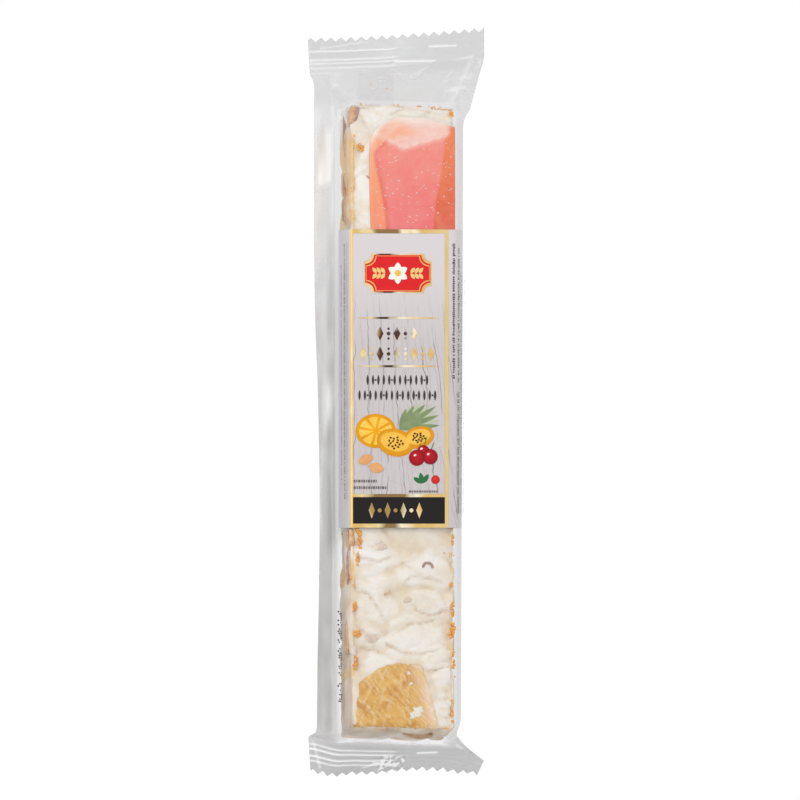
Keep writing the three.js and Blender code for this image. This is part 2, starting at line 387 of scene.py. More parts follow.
def film_painted_highlight(across, row):
    """Painted highlight of the film on its ribs, creases and folds, and in soft streaks on the slack fold at
    the left, 0 to 1.
    """
    stretch, way = film_stretch(row)
    if stretch == "body":
        point = body_point(across, True, blend(bar_end(False), bar_end(True), way))
        # Soft vertical painted highlights on the slack fold at the left.
        streak = smooth(-0.1, 0.36, wobble((point.x, point.y * 0.1, 0), 2.6, 5.5))
        patch = smooth(-0.2, 0.3, wobble((point.x, point.y, 0), 10, 2.7))
        inside = smooth(FILM_TOP, FILM_TOP - 9, point.y) * smooth(FILM_BOTTOM, FILM_BOTTOM + 6, point.y)
        on_ear = smooth(-17.0, -18.4, point.x) * blend(0.3, 1.0, smooth(-60, 70, point.y))
        return streak * patch * inside * on_ear
    top = stretch.startswith("top")
    way = way if top else 1 - way
    if stretch.endswith("shoulder"):
        x = shoulder_point(top, across, True, way).x
        return CREASE_HIGHLIGHT * smooth(0.3, 0.75, crease_push(TOP_CREASES if top else BOTTOM_CREASES, x, way))
    start, _, depth = seal_line(top, across, way)
    out = way * depth
    glint = crease_push(TOP_GLINTS if top else BOTTOM_GLINTS, start.x, out / 10)
    crinkle = smooth(-0.1, 0.28, scrunch_height(top, start.x, out))
    ribs = (TOP_RIB_HIGHLIGHT if top else BOTTOM_RIB_HIGHLIGHT) * rib_height(top, start.x, out)
    return min(1.0, glint + ribs + SCRUNCH_HIGHLIGHT * crinkle)


def on_film(s, y, lift=0.0):
    """The place on the film at a distance s round it from the middle of the front, lifted off it."""
    _, _, loop, middle = slices(y)
    point, way = loop.at(middle + s)
    out = Vector((-way.y, way.x))
    point = point + out * lift
    return Vector((point.x, y, point.y))


# Film's tint, the milk in it, its painted shade and its painted highlight.
FILM_TINT = linear(251, 251, 252)
FILM_MILK = linear(186, 186, 186)
FILM_SHADE = linear(146, 147, 146)
FILM_HIGHLIGHT = linear(252, 252, 253)


# Making and finishing pieces.

def mapped_grid(bm, columns, rows, place):
    """Adds a grid and puts each of its corners where place(u, v) says, u and v running 0 to 1."""
    verts = bmesh.ops.create_grid(bm, x_segments=columns, y_segments=rows, size=0.5)["verts"]
    for vert in verts:
        vert.co = place(vert.co.x + 0.5, vert.co.y + 0.5)
    return verts


def finish_piece(name, bm, paints, slot, shade_smooth=True, merge=1e-4, levels=0):
    """Turns a mesh worked in millimetres into a piece that rides with the pack."""
    bmesh.ops.remove_doubles(bm, verts=bm.verts, dist=merge)
    bmesh.ops.recalc_face_normals(bm, faces=bm.faces)
    bmesh.ops.scale(bm, vec=(MM, MM, MM), verts=bm.verts)
    for face in bm.faces:
        face.smooth = shade_smooth
    mesh = bpy.data.meshes.new(name)
    bm.to_mesh(mesh)
    bm.free()
    for paint in paints:
        mesh.materials.append(paint)
    piece = bpy.data.objects.new(name, mesh)
    bpy.context.scene.collection.objects.link(piece)
    if levels:
        subdivision = piece.modifiers.new("Smoothing", "SUBSURF")
        subdivision.levels = subdivision.render_levels = levels
    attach(piece, "root")
    return piece


# Paints: each is a material whose nodes are laid by a few helpers.

def new_paint(name):
    paint = bpy.data.materials.new(name)
    paint.use_nodes = True
    paint.node_tree.nodes.clear()
    return paint, paint.node_tree


def add(tree, kind, inputs=None, **settings):
    """Adds a node, with settings on the node and values or links on its inputs."""
    node = tree.nodes.new(kind)
    for key, value in settings.items():
        setattr(node, key, value)
    for key, value in (inputs or {}).items():
        socket = node.inputs[key]
        if isinstance(value, bpy.types.NodeSocket):
            tree.links.new(value, socket)
        else:
            socket.default_value = (*value, 1.0) if socket.type == "RGBA" and len(value) == 3 else value
    return node


def place(tree, scale=(1, 1, 1), turn=(0, 0, 0)):
    """Object coordinates in millimetres, stretched and turned."""
    here = add(tree, "ShaderNodeTexCoord").outputs["Object"]
    per_mm = [1 / MM * share for share in scale]
    return stretched(tree, here, per_mm, turn)


def stretched(tree, vector, scale, turn=(0, 0, 0)):
    inputs = {"Vector": vector, "Scale": scale, "Rotation": turn}
    return add(tree, "ShaderNodeMapping", inputs).outputs["Vector"]


def maths(tree, how, *values, clamp=False):
    """Works out one number from numbers and links."""
    inputs = dict(enumerate(values))
    return add(tree, "ShaderNodeMath", inputs, operation=how, use_clamp=clamp).outputs[0]


def clouds(tree, vector, scale, detail=4, roughness=0.55, warp=0.0):
    inputs = {"Vector": vector, "Scale": scale, "Detail": detail, "Roughness": roughness, "Distortion": warp}
    return add(tree, "ShaderNodeTexNoise", inputs).outputs["Fac"]


def span(tree, value, low, high, to_low=0.0, to_high=1.0):
    inputs = {"Value": value, "From Min": low, "From Max": high, "To Min": to_low, "To Max": to_high}
    return add(tree, "ShaderNodeMapRange", inputs).outputs["Result"]


def mix(tree, factor, first, second, how="MIX"):
    node = add(tree, "ShaderNodeMix", {0: factor, 6: first, 7: second}, data_type="RGBA", blend_type=how)
    return node.outputs[2]


def steps(tree, factor, stops, how="LINEAR"):
    """A colour ramp: stops are (place, colour)."""
    node = add(tree, "ShaderNodeValToRGB", {"Fac": factor})
    node.color_ramp.interpolation = how
    while len(node.color_ramp.elements) < len(stops):
        node.color_ramp.elements.new(0.5)
    for element, (where, colour) in zip(node.color_ramp.elements, stops):
        element.position = where
        element.color = (*colour, 1.0)
    return node.outputs["Color"]


def bump(tree, height, strength, distance):
    inputs = {"Height": height, "Strength": strength, "Distance": distance * MM}
    return add(tree, "ShaderNodeBump", inputs).outputs["Normal"]


def surface(tree, colour, roughness, normal=None, **extra):
    inputs = {"Base Color": colour, "Roughness": roughness}
    if normal is not None:
        inputs["Normal"] = normal
    inputs.update({key.replace("_", " "): value for key, value in extra.items()})
    shader = add(tree, "ShaderNodeBsdfPrincipled", inputs)
    add(tree, "ShaderNodeOutputMaterial", {"Surface": shader.outputs[0]})


def attribute(tree, name, output="Color"):
    return add(tree, "ShaderNodeAttribute", attribute_name=name).outputs[output]


def nougat_paint():
    """Whipped sweet: white folds, cream hollows that also carry painted shade, seams darkened as painted
    shade, and an oily stain by the edges.
    """
    paint, tree = new_paint("nougat")
    depth, stain, edge = add(tree, "ShaderNodeSeparateColor", {"Color": attribute(tree, "marks")}).outputs
    here = place(tree)
    drift = clouds(tree, here, 0.07, 5, 0.6, 1.4)
    veins = clouds(tree, here, 0.28, 6, 0.7, 2.2)
    fine = clouds(tree, here, 1.1, 5, 0.65, 0.4)
    broad = clouds(tree, here, 0.12, 4, 0.6, 1.0)
    lowered = span(tree, drift, 0.3, 0.7, -0.2, 0.28)
    raised_and_lit = maths(tree, "SUBTRACT", attribute(tree, "marks", "Alpha"), lowered, clamp=True)
    # Painted shade: the seams and fold valleys marked in the mesh are darkened.
    seam = maths(tree, "MULTIPLY", depth, span(tree, fine, 0.35, 0.62, 0.2, 0.8))
    ragged = maths(tree, "MULTIPLY", stain, span(tree, fine, 0.36, 0.6, 0.5, 1.0))
    # Cream where the mesh marks the nougat low and towards the lower end: its own cream, with painted shade
    # and light in it.
    colour = mix(tree, raised_and_lit, tuple(colours().cream), tuple(colours().nougat))
    for share, tone in ((span(tree, broad, 0.5, 0.7, 0.0, 0.5), (222, 206, 184)),
                        (span(tree, veins, 0.52, 0.66, 0.0, 0.6), (245, 227, 190)),
                        (span(tree, veins, 0.4, 0.3, 0.0, 0.25), (232, 218, 206)),
                        (seam, (218, 192, 158)),
                        (span(tree, fine, 0.64, 0.76, 0.0, 0.2), (214, 196, 180)),
                        (ragged, (236, 190, 110)),
                        (edge, (198, 164, 134))):
        colour = mix(tree, share, colour, linear(*tone))
    surface(tree, colour, 0.45, bump(tree, fine, 0.5, 0.2), Subsurface_Weight=0.2, Subsurface_Scale=1.2 * MM,
            Subsurface_Radius=(1.0, 0.85, 0.65), Specular_IOR_Level=0.35)
    return paint


def pink_fruit_paint():
    """Candied fruit: the facets' colours, with light and shade painted into them, come from the mesh, with a
    soft cloud through them.
    """
    paint, tree = new_paint("pink_fruit")
    here = place(tree)
    cloud = clouds(tree, here, 0.22, 4, 0.6, 0.6)
    fine = clouds(tree, here, 1.7, 4, 0.6)
    facets = attribute(tree, "facet_shading")
    lit = mix(tree, span(tree, cloud, 0.35, 0.7, 0.0, 0.22), facets, linear(255, 196, 176))
    mottled = mix(tree, span(tree, fine, 0.55, 0.75, 0.0, 0.14), lit, linear(214, 84, 66))
    surface(tree, mottled, 0.36, bump(tree, fine, 0.35, 0.12), Subsurface_Weight=0.3,
            Subsurface_Scale=1.4 * MM, Subsurface_Radius=(1.0, 0.45, 0.3))
    return paint


def amber_fruit_paint():
    """Candied fruit with pale fibres that fan out from its top, and others across them."""
    paint, tree = new_paint("amber_fruit")
    fan_parts = add(tree, "ShaderNodeSeparateXYZ", {"Vector": attribute(tree, "fan", "Vector")}).outputs
    flat_fan = add(tree, "ShaderNodeCombineXYZ", {"X": fan_parts[0], "Y": fan_parts[1]}).outputs["Vector"]
    fibres = clouds(tree, flat_fan, 1.0, 6, 0.72, 0.5)
    here = place(tree)
    turned = place(tree, (1, 1, 1), (0, 0, math.radians(48)))
    crossing = clouds(tree, stretched(tree, turned, (0.2, 1.1, 1.0)), 1.1, 5, 0.7, 0.8)
    patches = clouds(tree, here, 0.22, 4, 0.6, 0.8)
    speckle = clouds(tree, here, 1.6, 4, 0.7)
    smear = maths(tree, "MULTIPLY", fan_parts[2], span(tree, patches, 0.6, 0.4, 0.35, 0.95))
    colour = tuple(colours().amber)
    for share, tone in ((span(tree, patches, 0.36, 0.62), (232, 184, 94)),
                        (span(tree, patches, 0.5, 0.36, 0.0, 0.75), (202, 138, 42)),
                        (span(tree, speckle, 0.52, 0.72, 0.0, 0.35), (236, 196, 124)),
                        (span(tree, fibres, 0.54, 0.68, 0.0, 0.5), (250, 230, 196)),
                        (span(tree, crossing, 0.51, 0.64, 0.0, 0.65), (250, 226, 184)),
                        (smear, (250, 230, 208))):
        colour = mix(tree, share, colour, linear(*tone))
    surface(tree, colour, 0.4, bump(tree, speckle, 0.6, 0.25), Subsurface_Weight=0.2,
            Subsurface_Scale=1.2 * MM, Subsurface_Radius=(1.0, 0.6, 0.25), Specular_IOR_Level=0.4)
    return paint


def crumb_paint(name, first, second, roughness=0.4):
    paint, tree = new_paint(name)
    here = place(tree)
    patches = clouds(tree, here, 0.7, 4, 0.6, 0.5)
    fine = clouds(tree, here, 3.0, 3, 0.6)
    colour = mix(tree, span(tree, patches, 0.35, 0.65), first, second)
    surface(tree, colour, roughness, bump(tree, fine, 0.5, 0.15),
            Subsurface_Weight=0.15, Subsurface_Scale=0.8 * MM)
    return paint


def film_paint(name, crinkle):
    """Clear film: milk where it is slack, darkened as painted shade beside the bar's left wall and whitened
    as painted highlight on ribs and creases, and a gloss that grows where it is seen edge on.
    """
    paint, tree = new_paint(name)
    veil = {"Color": attribute(tree, "veil")}
    # The third channel, crest, is a painted highlight: it whitens the milk on ribs, creases and folds.
    milk_share, gleam, crest = add(tree, "ShaderNodeSeparateColor", veil).outputs
    haze = maths(tree, "MULTIPLY_ADD", crest, 0.4, milk_share, clamp=True)
    waves = clouds(tree, place(tree, (1.0, 0.35, 1.0)), 0.35, 4, 0.6, 0.8)
    normal = bump(tree, waves, crinkle, 0.4)
    through = add(tree, "ShaderNodeBsdfTransparent", {"Color": FILM_TINT})
    # Painted shade in the fold beside the bar's left wall darkens the milk.
    hollow_shade = mix(tree, attribute(tree, "veil", "Alpha"), FILM_SHADE, FILM_MILK)
    milk_and_highlight = mix(tree, crest, hollow_shade, FILM_HIGHLIGHT)
    milk = add(tree, "ShaderNodeBsdfDiffuse", {"Color": milk_and_highlight, "Normal": normal})
    body = add(tree, "ShaderNodeMixShader", {"Fac": haze, 1: through.outputs[0], 2: milk.outputs[0]})
    shine = {"Color": (1.0, 1.0, 1.0), "Roughness": 0.28, "Normal": normal}
    gloss = add(tree, "ShaderNodeBsdfAnisotropic", shine)
    slant = add(tree, "ShaderNodeLayerWeight", {"Blend": 0.5, "Normal": normal}).outputs["Facing"]
    facing = maths(tree, "MULTIPLY_ADD", maths(tree, "POWER", slant, 5.0), 0.8, 0.09)
    glossy = maths(tree, "MULTIPLY", facing, gleam)
    whole = add(tree, "ShaderNodeMixShader", {"Fac": glossy, 1: body.outputs[0], 2: gloss.outputs[0]})
    add(tree, "ShaderNodeOutputMaterial", {"Surface": whole.outputs[0]})
    return paint


def ink_paint(name, colour, shade=None, roughness=0.4):
    """Ink under varnish, a little uneven, that darkens towards the rim of a round shape."""
    paint, tree = new_paint(name)
    cloud = clouds(tree, place(tree), 0.5, 3, 0.5)
    second = shade or tuple(channel * 0.86 for channel in colour)
    uneven = mix(tree, span(tree, cloud, 0.35, 0.65, 0.0, 0.45), colour, second)
    rim_tone = tuple(channel * 0.62 for channel in second)
    rounded_off = mix(tree, attribute(tree, "rim", "Fac"), uneven, rim_tone)
    surface(tree, rounded_off, roughness, None, Specular_IOR_Level=0.2)
    return paint


def board_paint():
    """The band's ground: plain pale grey above, pale cracked wood below, and painted shade on the side
    strips.
    """
    paint, tree = new_paint("band_ground")
    where = attribute(tree, "band", "Vector")
    across, up, _ = add(tree, "ShaderNodeSeparateXYZ", {"Vector": where}).outputs

    def cracks(count, fanning, wander, thin):
        """Thin broken lines that converge upwards."""
        spread = maths(tree, "MULTIPLY", across, maths(tree, "MULTIPLY_ADD", up, fanning, 1.0))
        bends = clouds(tree, stretched(tree, where, (3.0, 7.0, 1.0)), 1.0, 3, 0.6)
        drift = span(tree, bends, 0.2, 0.8, -wander, wander)
        gap = maths(tree, "PINGPONG", maths(tree, "MULTIPLY_ADD", spread, count, drift), 1.0)
        breaks = clouds(tree, stretched(tree, where, (9.0, 5.0, 1.0)), 1.3, 3, 0.6)
        return maths(tree, "MULTIPLY", span(tree, gap, thin, 0.0), span(tree, breaks, 0.4, 0.54))

    grain = clouds(tree, stretched(tree, where, (60.0, 9.0, 1.0)), 1.0, 6, 0.7, 0.6)
    dots = clouds(tree, stretched(tree, where, (90.0, 190.0, 1.0)), 1.0, 2, 0.6)
    specks = maths(tree, "MULTIPLY", span(tree, dots, 0.6, 0.72), span(tree, up, 0.55, 0.1, 0.0, 0.8))
    wood = linear(202, 195, 195)
    for share, tone in ((span(tree, grain, 0.5, 0.75, 0.0, 0.55), (168, 158, 159)),
                        (specks, (150, 140, 138)),
                        (cracks(11.0, 0.55, 0.5, 0.09), (130, 119, 123)),
                        (cracks(19.0, 0.8, 0.9, 0.07), (152, 142, 146))):
        wood = mix(tree, share, wood, linear(*tone))
    plain = mix(tree, span(tree, up, 0.35, 1.0), linear(211, 204, 206), linear(215, 208, 210))
    panel = mix(tree, span(tree, up, 0.84, 0.62), plain, wood)
    # The side strips, turned away from the light, are darkened as painted shade, the left one more.
    right_side_shade = mix(tree, span(tree, across, 0.955, 0.975, 0.0, 0.15), panel, linear(184, 180, 181))
    colour = mix(tree, span(tree, across, -0.045, -0.052, 0.0, 0.7), right_side_shade, linear(190, 188, 191))
    surface(tree, colour, 0.4, None, Specular_IOR_Level=0.3)
    return paint


def foil_paint(name="gold_foil", reflection_contrast=1.0):
    """Gold foil with a painted reflection: bright through the middle, a dark band to its left and paler ends.
    """
    paint, tree = new_paint(name)
    here = place(tree)
    sideways = add(tree, "ShaderNodeSeparateXYZ", {"Vector": here}).outputs[0]
    drift = span(tree, clouds(tree, here, 0.16, 2, 0.4, 0.4), 0.3, 0.7, -0.1, 0.1)
    gold = tuple(colours().gold)
    dark = tuple(blend(whole, deep, reflection_contrast) for whole, deep in zip(gold, linear(74, 46, 22)))
    across = span(tree, sideways, -15.0, 15.0)
    moved = maths(tree, "ADD", across, drift)
    # Painted reflection: dark and bright bands across the foil that stand in for what it mirrors.
    colour = steps(tree, moved, [(0.06, gold), (0.2, linear(238, 216, 160)), (0.3, dark), (0.42, dark),
                                 (0.52, linear(250, 238, 206)), (0.66, gold), (0.95, linear(228, 200, 138))])
    surface(tree, colour, 0.32, None, Metallic=0.2, Specular_IOR_Level=0.5)
    return paint


# The bar and what is set in it.

FRUIT_BOTTOM, FRUIT_SHOULDER, FRUIT_TOP = 42.0, 66.4, 76.9
FRUIT_LEFT, FRUIT_CROWN, FRUIT_RIGHT, FRUIT_BELLY = -9.0, 3.6, 14.5, 0.4
CHUNK_TOP, CHUNK_CREST, CHUNK_FOOT = -73.6, 0.66, -91.6


def fruit_edges(y):
    """Left and right edge of the pink fruit at y."""
    rise = min(max((y - FRUIT_SHOULDER) / (FRUIT_TOP - FRUIT_SHOULDER), 0.0), 1.0)
    left = FRUIT_CROWN - (FRUIT_CROWN - FRUIT_LEFT) * (1 - rise ** 3) ** 0.5
    left -= FRUIT_BELLY * math.sin(math.pi * min(max((y - 46.0) / (FRUIT_TOP - 46.0), 0.0), 1.0))
    right = FRUIT_CROWN + (FRUIT_RIGHT - FRUIT_CROWN) * min(1.0, max(0.0, (FRUIT_TOP - y) / 2.8)) ** 0.8
    return left, right


def chunk_place(u, v):
    """A place on the amber fruit's uneven outline: u runs across, v up from the bar's end."""
    crest = (u / CHUNK_CREST - 1) if u < CHUNK_CREST else (u - CHUNK_CREST) / (1 - CHUNK_CREST)
    top = CHUNK_TOP - crest * crest * (6.6 if u < CHUNK_CREST else 1.2)
    top += 0.7 * wobble((u * 24, 0, 0), 3.2, 21.0)
    x = blend(blend(-13.4, 10.2, u), blend(-12.2, 5.6, u), v ** 1.3)
    x += (u - 0.5) * 1.2 * wobble((0, v * 16, u * 2), 3.5, 23.0)
    return x, blend(CHUNK_FOOT, top, v)


def in_pink(x, y, margin=0.0):
    left, right = fruit_edges(y)
    return y < FRUIT_TOP + margin and y > FRUIT_BOTTOM and left - margin < x < right + margin


def in_amber(x, y, margin=0.0):
    v = min(max((y - CHUNK_FOOT) / 17.5, 0.0), 1.0)
    left, right = blend(-13.4, -12.2, v), blend(10.2, 5.6, v)
    u = min(max((x - left) / (right - left), 0.0), 1.0)
    return left - margin < x < right + margin and y < chunk_place(u, 1.0)[1] + margin


# Named lumps of the nougat's front: x, y, half breadth, half length, turn, height.
LUMPS = [
    (3.2, -65.2, 8.8, 4.6, 16, 0.7), (-7.4, -58.0, 6.0, 4.4, -28, 0.5), (7.4, -56.0, 5.4, 3.0, -12, 0.45),
    (-6.5, -44.5, 6.6, 3.4, -14, 0.4), (8.0, -45.0, 6.0, 3.4, 8, 0.35), (-8.6, -67.6, 3.6, 2.4, 12, 0.55),
    (9.5, -71.5, 5.4, 2.0, 12, 0.5), (11.5, -77.5, 3.4, 3.2, 30, 0.5), (11.4, -84.5, 3.0, 2.2, 12, 0.5),
    (-8.0, -50.6, 5.0, 3.0, 10, 0.3), (1.0, -50.5, 4.5, 2.4, -30, 0.3), (-5.5, -73.0, 7.5, 2.6, 22, 0.45),
    (-3.0, 78.2, 6.4, 2.2, 12, 0.6), (9.0, 78.6, 5.0, 1.6, -6, 0.5), (-10.6, 69.0, 2.2, 5.2, -10, 0.4),
    (-11.4, 55.0, 2.4, 6.0, 3, 0.35), (12.0, -89.5, 2.4, 1.6, 8, 0.4), (-7.0, 71.5, 2.6, 4.0, -38, 0.35),
]

# Seams where one fold of nougat lies on the next: points along each, and its depth.
SEAMS = [
    (0.5, [(-15.0, -43.2), (-10.6, -45.6), (-6.2, -46.2), (-2.0, -44.0)]),
    (0.35, [(-2.1, -45.8), (1.2, -46.8), (3.8, -48.8), (5.6, -51.2)]),
    (0.45, [(-13.9, -53.9), (-9.5, -55.2), (-6.3, -59.5), (-3.9, -63.4)]),
    (0.6, [(3.1, -57.5), (3.9, -59.2), (7.6, -60.5), (11.0, -59.4), (14.1, -59.2)]),
    (0.45, [(-3.0, -66.2), (1.8, -63.2), (6.0, -62.8), (11.0, -61.0)]),
    (0.55, [(-6.2, -67.6), (-2.8, -69.6), (0.0, -71.2), (5.8, -71.2), (12.4, -69.1)]),
    (0.5, [(4.8, -75.4), (9.6, -75.4), (13.8, -73.9)]), (0.4, [(9.6, -86.0), (13.4, -86.2)]),
    (0.4, [(10.0, -87.8), (12.9, -88.7)]), (0.4, [(9.4, -83.6), (13.6, -83.0)]),
    (0.35, [(10.8, -80.6), (13.8, -81.4)]), (0.4, [(-14.0, -63.3), (-9.6, -66.2), (-6.2, -67.0)]),
    (0.5, [(-12.9, -70.0), (-8.0, -70.4), (-4.0, -71.6)]),
    (0.35, [(-0.5, -52.8), (2.4, -49.9), (7.7, -50.4), (13.4, -52.6)]),
    (0.35, [(-14.4, 58.4), (-11.6, 60.6), (-9.4, 62.6)]),
    (0.4, [(-12.4, 78.0), (-9.8, 72.6), (-8.2, 69.0)]),
    (0.3, [(-5.0, 76.2), (-1.0, 78.4), (4.0, 78.6), (13.6, 77.2)]),
    (0.3, [(-13.8, 49.6), (-11.8, 46.8), (-9.6, 45.4)]),
]
SEAM_BREADTH, SEAM_LIP, LIP_REACH = 0.34, 0.9, 2.8
BASE_DIP, LUMP_WANDER = 0.66, 1.9


def lump_height(x, y):
    """Height of the named lumps at a place, their outlines made ragged."""
    height = 0.0
    x, y = x + LUMP_WANDER * wobble((x, y, 0), 3.4, 51.0), y + LUMP_WANDER * wobble((x, y, 0), 3.4, 57.0)
    for centre_x, centre_y, breadth, length, turn, rise in LUMPS:
        angle = math.radians(turn)
        away_x, away_y = x - centre_x, y - centre_y
        if abs(away_x) > 9 or abs(away_y) > 9:
            continue
        along = (away_x * math.cos(angle) + away_y * math.sin(angle)) / breadth
        over = (away_y * math.cos(angle) - away_x * math.sin(angle)) / length
        inside = 1 - along * along - over * over
        if inside > 0:
            height = max(height, rise * math.sqrt(inside))
    return height


def seam_marks(x, y):
    """How deep a seam cuts at a place, and how far the fold on its upper side overhangs it."""
    here = Vector((x + 0.35 * wobble((x, y, 3), 2.0, 31.0), y + 0.35 * wobble((x, y, 5), 2.0, 33.0)))
    cut, lip = 0.0, 0.0
    for depth, points in SEAMS:
        if not points[0][0] - LIP_REACH * 2 < x < points[-1][0] + LIP_REACH * 2 or abs(y - points[1][1]) > 12:
            continue
        best, side, ends = 99.0, 0.0, 1.0
        for index, (start, end) in enumerate(zip(points, points[1:])):
            start, run = Vector(start), Vector(end) - Vector(start)
            share = (here - start).dot(run) / run.length_squared
            inside = min(max(share, 0.0), 1.0)
            gap = here - start - run * inside
            if gap.length < best:
                best = gap.length
                side = run.x * gap.y - run.y * gap.x
                whole = (index + inside) / (len(points) - 1)
                ends = smooth(0, 0.2, whole) * smooth(1, 0.8, whole)
        cut = max(cut, depth * ends * math.exp(-(best / SEAM_BREADTH) ** 2))
        if side > 0:
            lip = max(lip, depth * ends * math.exp(-best / LIP_REACH))
    return cut, lip * SEAM_LIP


# Seeds of the noise that bends the folds along each axis.
FOLD_SEEDS = 62.1, 71.7, 88.3


def fold_height(point):
    """Folds of the pulled sweet, 0 in a crease to 1 on a fold's back."""
    size = sizes().marbling
    bend = Vector([wobble(point, size * 1.3, seed) for seed in FOLD_SEEDS]) * size * 0.55
    at = Vector(((point.x + bend.x) * 0.8, (point.y + bend.y) * 1.25, point.z + bend.z)) / size
    distances = noise.voronoi(at)[0]
    return min(1.0, (distances[1] - distances[0]) * 2.4)


def fruit_nearness(x, y):
    """2 inside a fruit, and 1 at its edge falling to 0 a few millimetres away."""
    if in_pink(x, y, -0.7) or in_amber(x, y, -0.7):
        return 2.0
    for margin in (0.8, 1.6, 2.4, 3.2, 4.0):
        if in_pink(x, y, margin) or in_amber(x, y, margin):
            return 1.16 - margin * 0.25
    return 0.0


NOUGAT_STEP, END_SLOPE = 0.5, 1.2


def bar_piece():
    """The block itself: pressed flat by the film, with folds, seams and rough long edges."""
    size = sizes()
    half, height = size.bar_width / 2, BOX_HEIGHT - 2 * size.film_gap
    low = Vector((-half, size.bar_top - size.bar_length, size.film_gap))
    span_of = Vector((size.bar_width, size.bar_length, height))
    counts = [round(length / NOUGAT_STEP) for length in (span_of.x, span_of.y)] + [round(height)]
    bm = bmesh.new()
    for axis in range(3):
        first, second = (axis + 1) % 3, (axis + 2) % 3
        for side in (0, 1):
            def spot(u, v, axis=axis, side=side, first=first, second=second):
                share = [0.0, 0.0, 0.0]
                share[axis], share[first], share[second] = side, u, v
                return low + Vector([share[i] * span_of[i] for i in range(3)])
            mapped_grid(bm, counts[first], counts[second], spot)
    bmesh.ops.remove_doubles(bm, verts=bm.verts, dist=0.01)
    marks = bm.verts.layers.float_color.new("marks")
    for vert in bm.verts:
        shape_bar_vert(vert, marks, half, low, low + span_of)
    return finish_piece("nougat_bar", bm, [nougat_paint()], "nougat")


def shape_bar_vert(vert, marks, half, low, high):
    """Rounds, folds and marks one corner of the block."""
    point = vert.co.copy()
    radius = 1.3 + 0.7 * wobble(point, 7, 4.4)
    inner = Vector([min(max(point[i], low[i] + radius), high[i] - radius) for i in range(3)])
    out = point - inner
    normal = out.normalized() if out.length > 1e-6 else Vector((0, 0, 1))
    if out.length > 1e-6:
        vert.co = inner + normal * radius
    fold = fold_height(point)
    up = smooth(0.5, 0.9, normal.z)
    cut, lip = seam_marks(point.x, point.y) if up > 0 else (0.0, 0.0)
    lump = (lump_height(point.x, point.y) + lip) * up
    valley = (1 - fold) ** 2.2
    grain = 0.2 * (0.5 - 0.5 * wobble(point, 2.4, 7.7)) + 0.05 * (1 - wobble(point, 0.9, 17.0))
    dip = max(0.0, sizes().relief * valley + grain + BASE_DIP * up - lump) + cut * up
    if up > 0.5:
        near = fruit_nearness(point.x, point.y)
        dip = 0.8 if near > 1 else blend(dip, min(0.08 + 0.2 * dip, 0.22), smooth(0, 1, near))
    vert.co -= normal * dip
    vert.co.x = min(max(vert.co.x, -half), half)
    if point.y < low.y + 4:
        vert.co.y -= END_SLOPE * (1 - point.z / high.z) * smooth(low.y + 4, low.y, point.y)
    edge = smooth(half - 2.4, half - 0.4, abs(point.x))
    edge_stain = edge * smooth(0.02, 0.3, wobble((point.x, point.y, 2), 4.2, 12.0)) * 0.9
    side_stain = (1 - up) * smooth(0.1, 0.5, wobble((point.x, point.y * 0.6, point.z), 6, 14.0)) * 0.35
    toast = (1 - up) * smooth(0.1, 0.45, wobble((point.x, point.y * 0.35, point.z * 1.6), 6, 15.0)) * 0.5
    # Painted shade in the seams and fold valleys, strong on the front and faint on the walls.
    seam = min(1.0, cut * 1.7 + valley * 0.32)
    # Whiter on high lumps and towards the upper end, darker towards the lower end: painted light and shade,
    # laid over the nougat's own cream in its low parts.
    raised_and_lit = smooth(-0.16, 0.46, lump + 0.22 * fold + 0.12 * wobble(point, 2.0, 61.0))
    raised_and_lit = blend(raised_and_lit, 1.0, 0.8 * smooth(70, 76, point.y)) - 0.14 * smooth(-45, -60, point.y)
    vert[marks] = (seam * up + 0.3 * (1 - up) * valley, max(edge_stain, side_stain), toast, max(raised_and_lit, 0.0))


# The pale cap of the pink fruit, lightened as painted light: where its lower line dips, and the middle of its
# peach patch.
CAP_X, CAP_Y = 0.2, 67.9
PEACH_X, PEACH_Y = -2.4, 72.4


def facet_lines(y):
    """How far down the pink fruit y lies, 0 to 1, and its front's left and right edges there."""
    down = smooth(70.0, 45.3, y)
    return down, blend(-7.4, -3.8, down), blend(11.4, 8.4, down)


def tint(red, green, blue):
    return Vector(linear(red, green, blue))


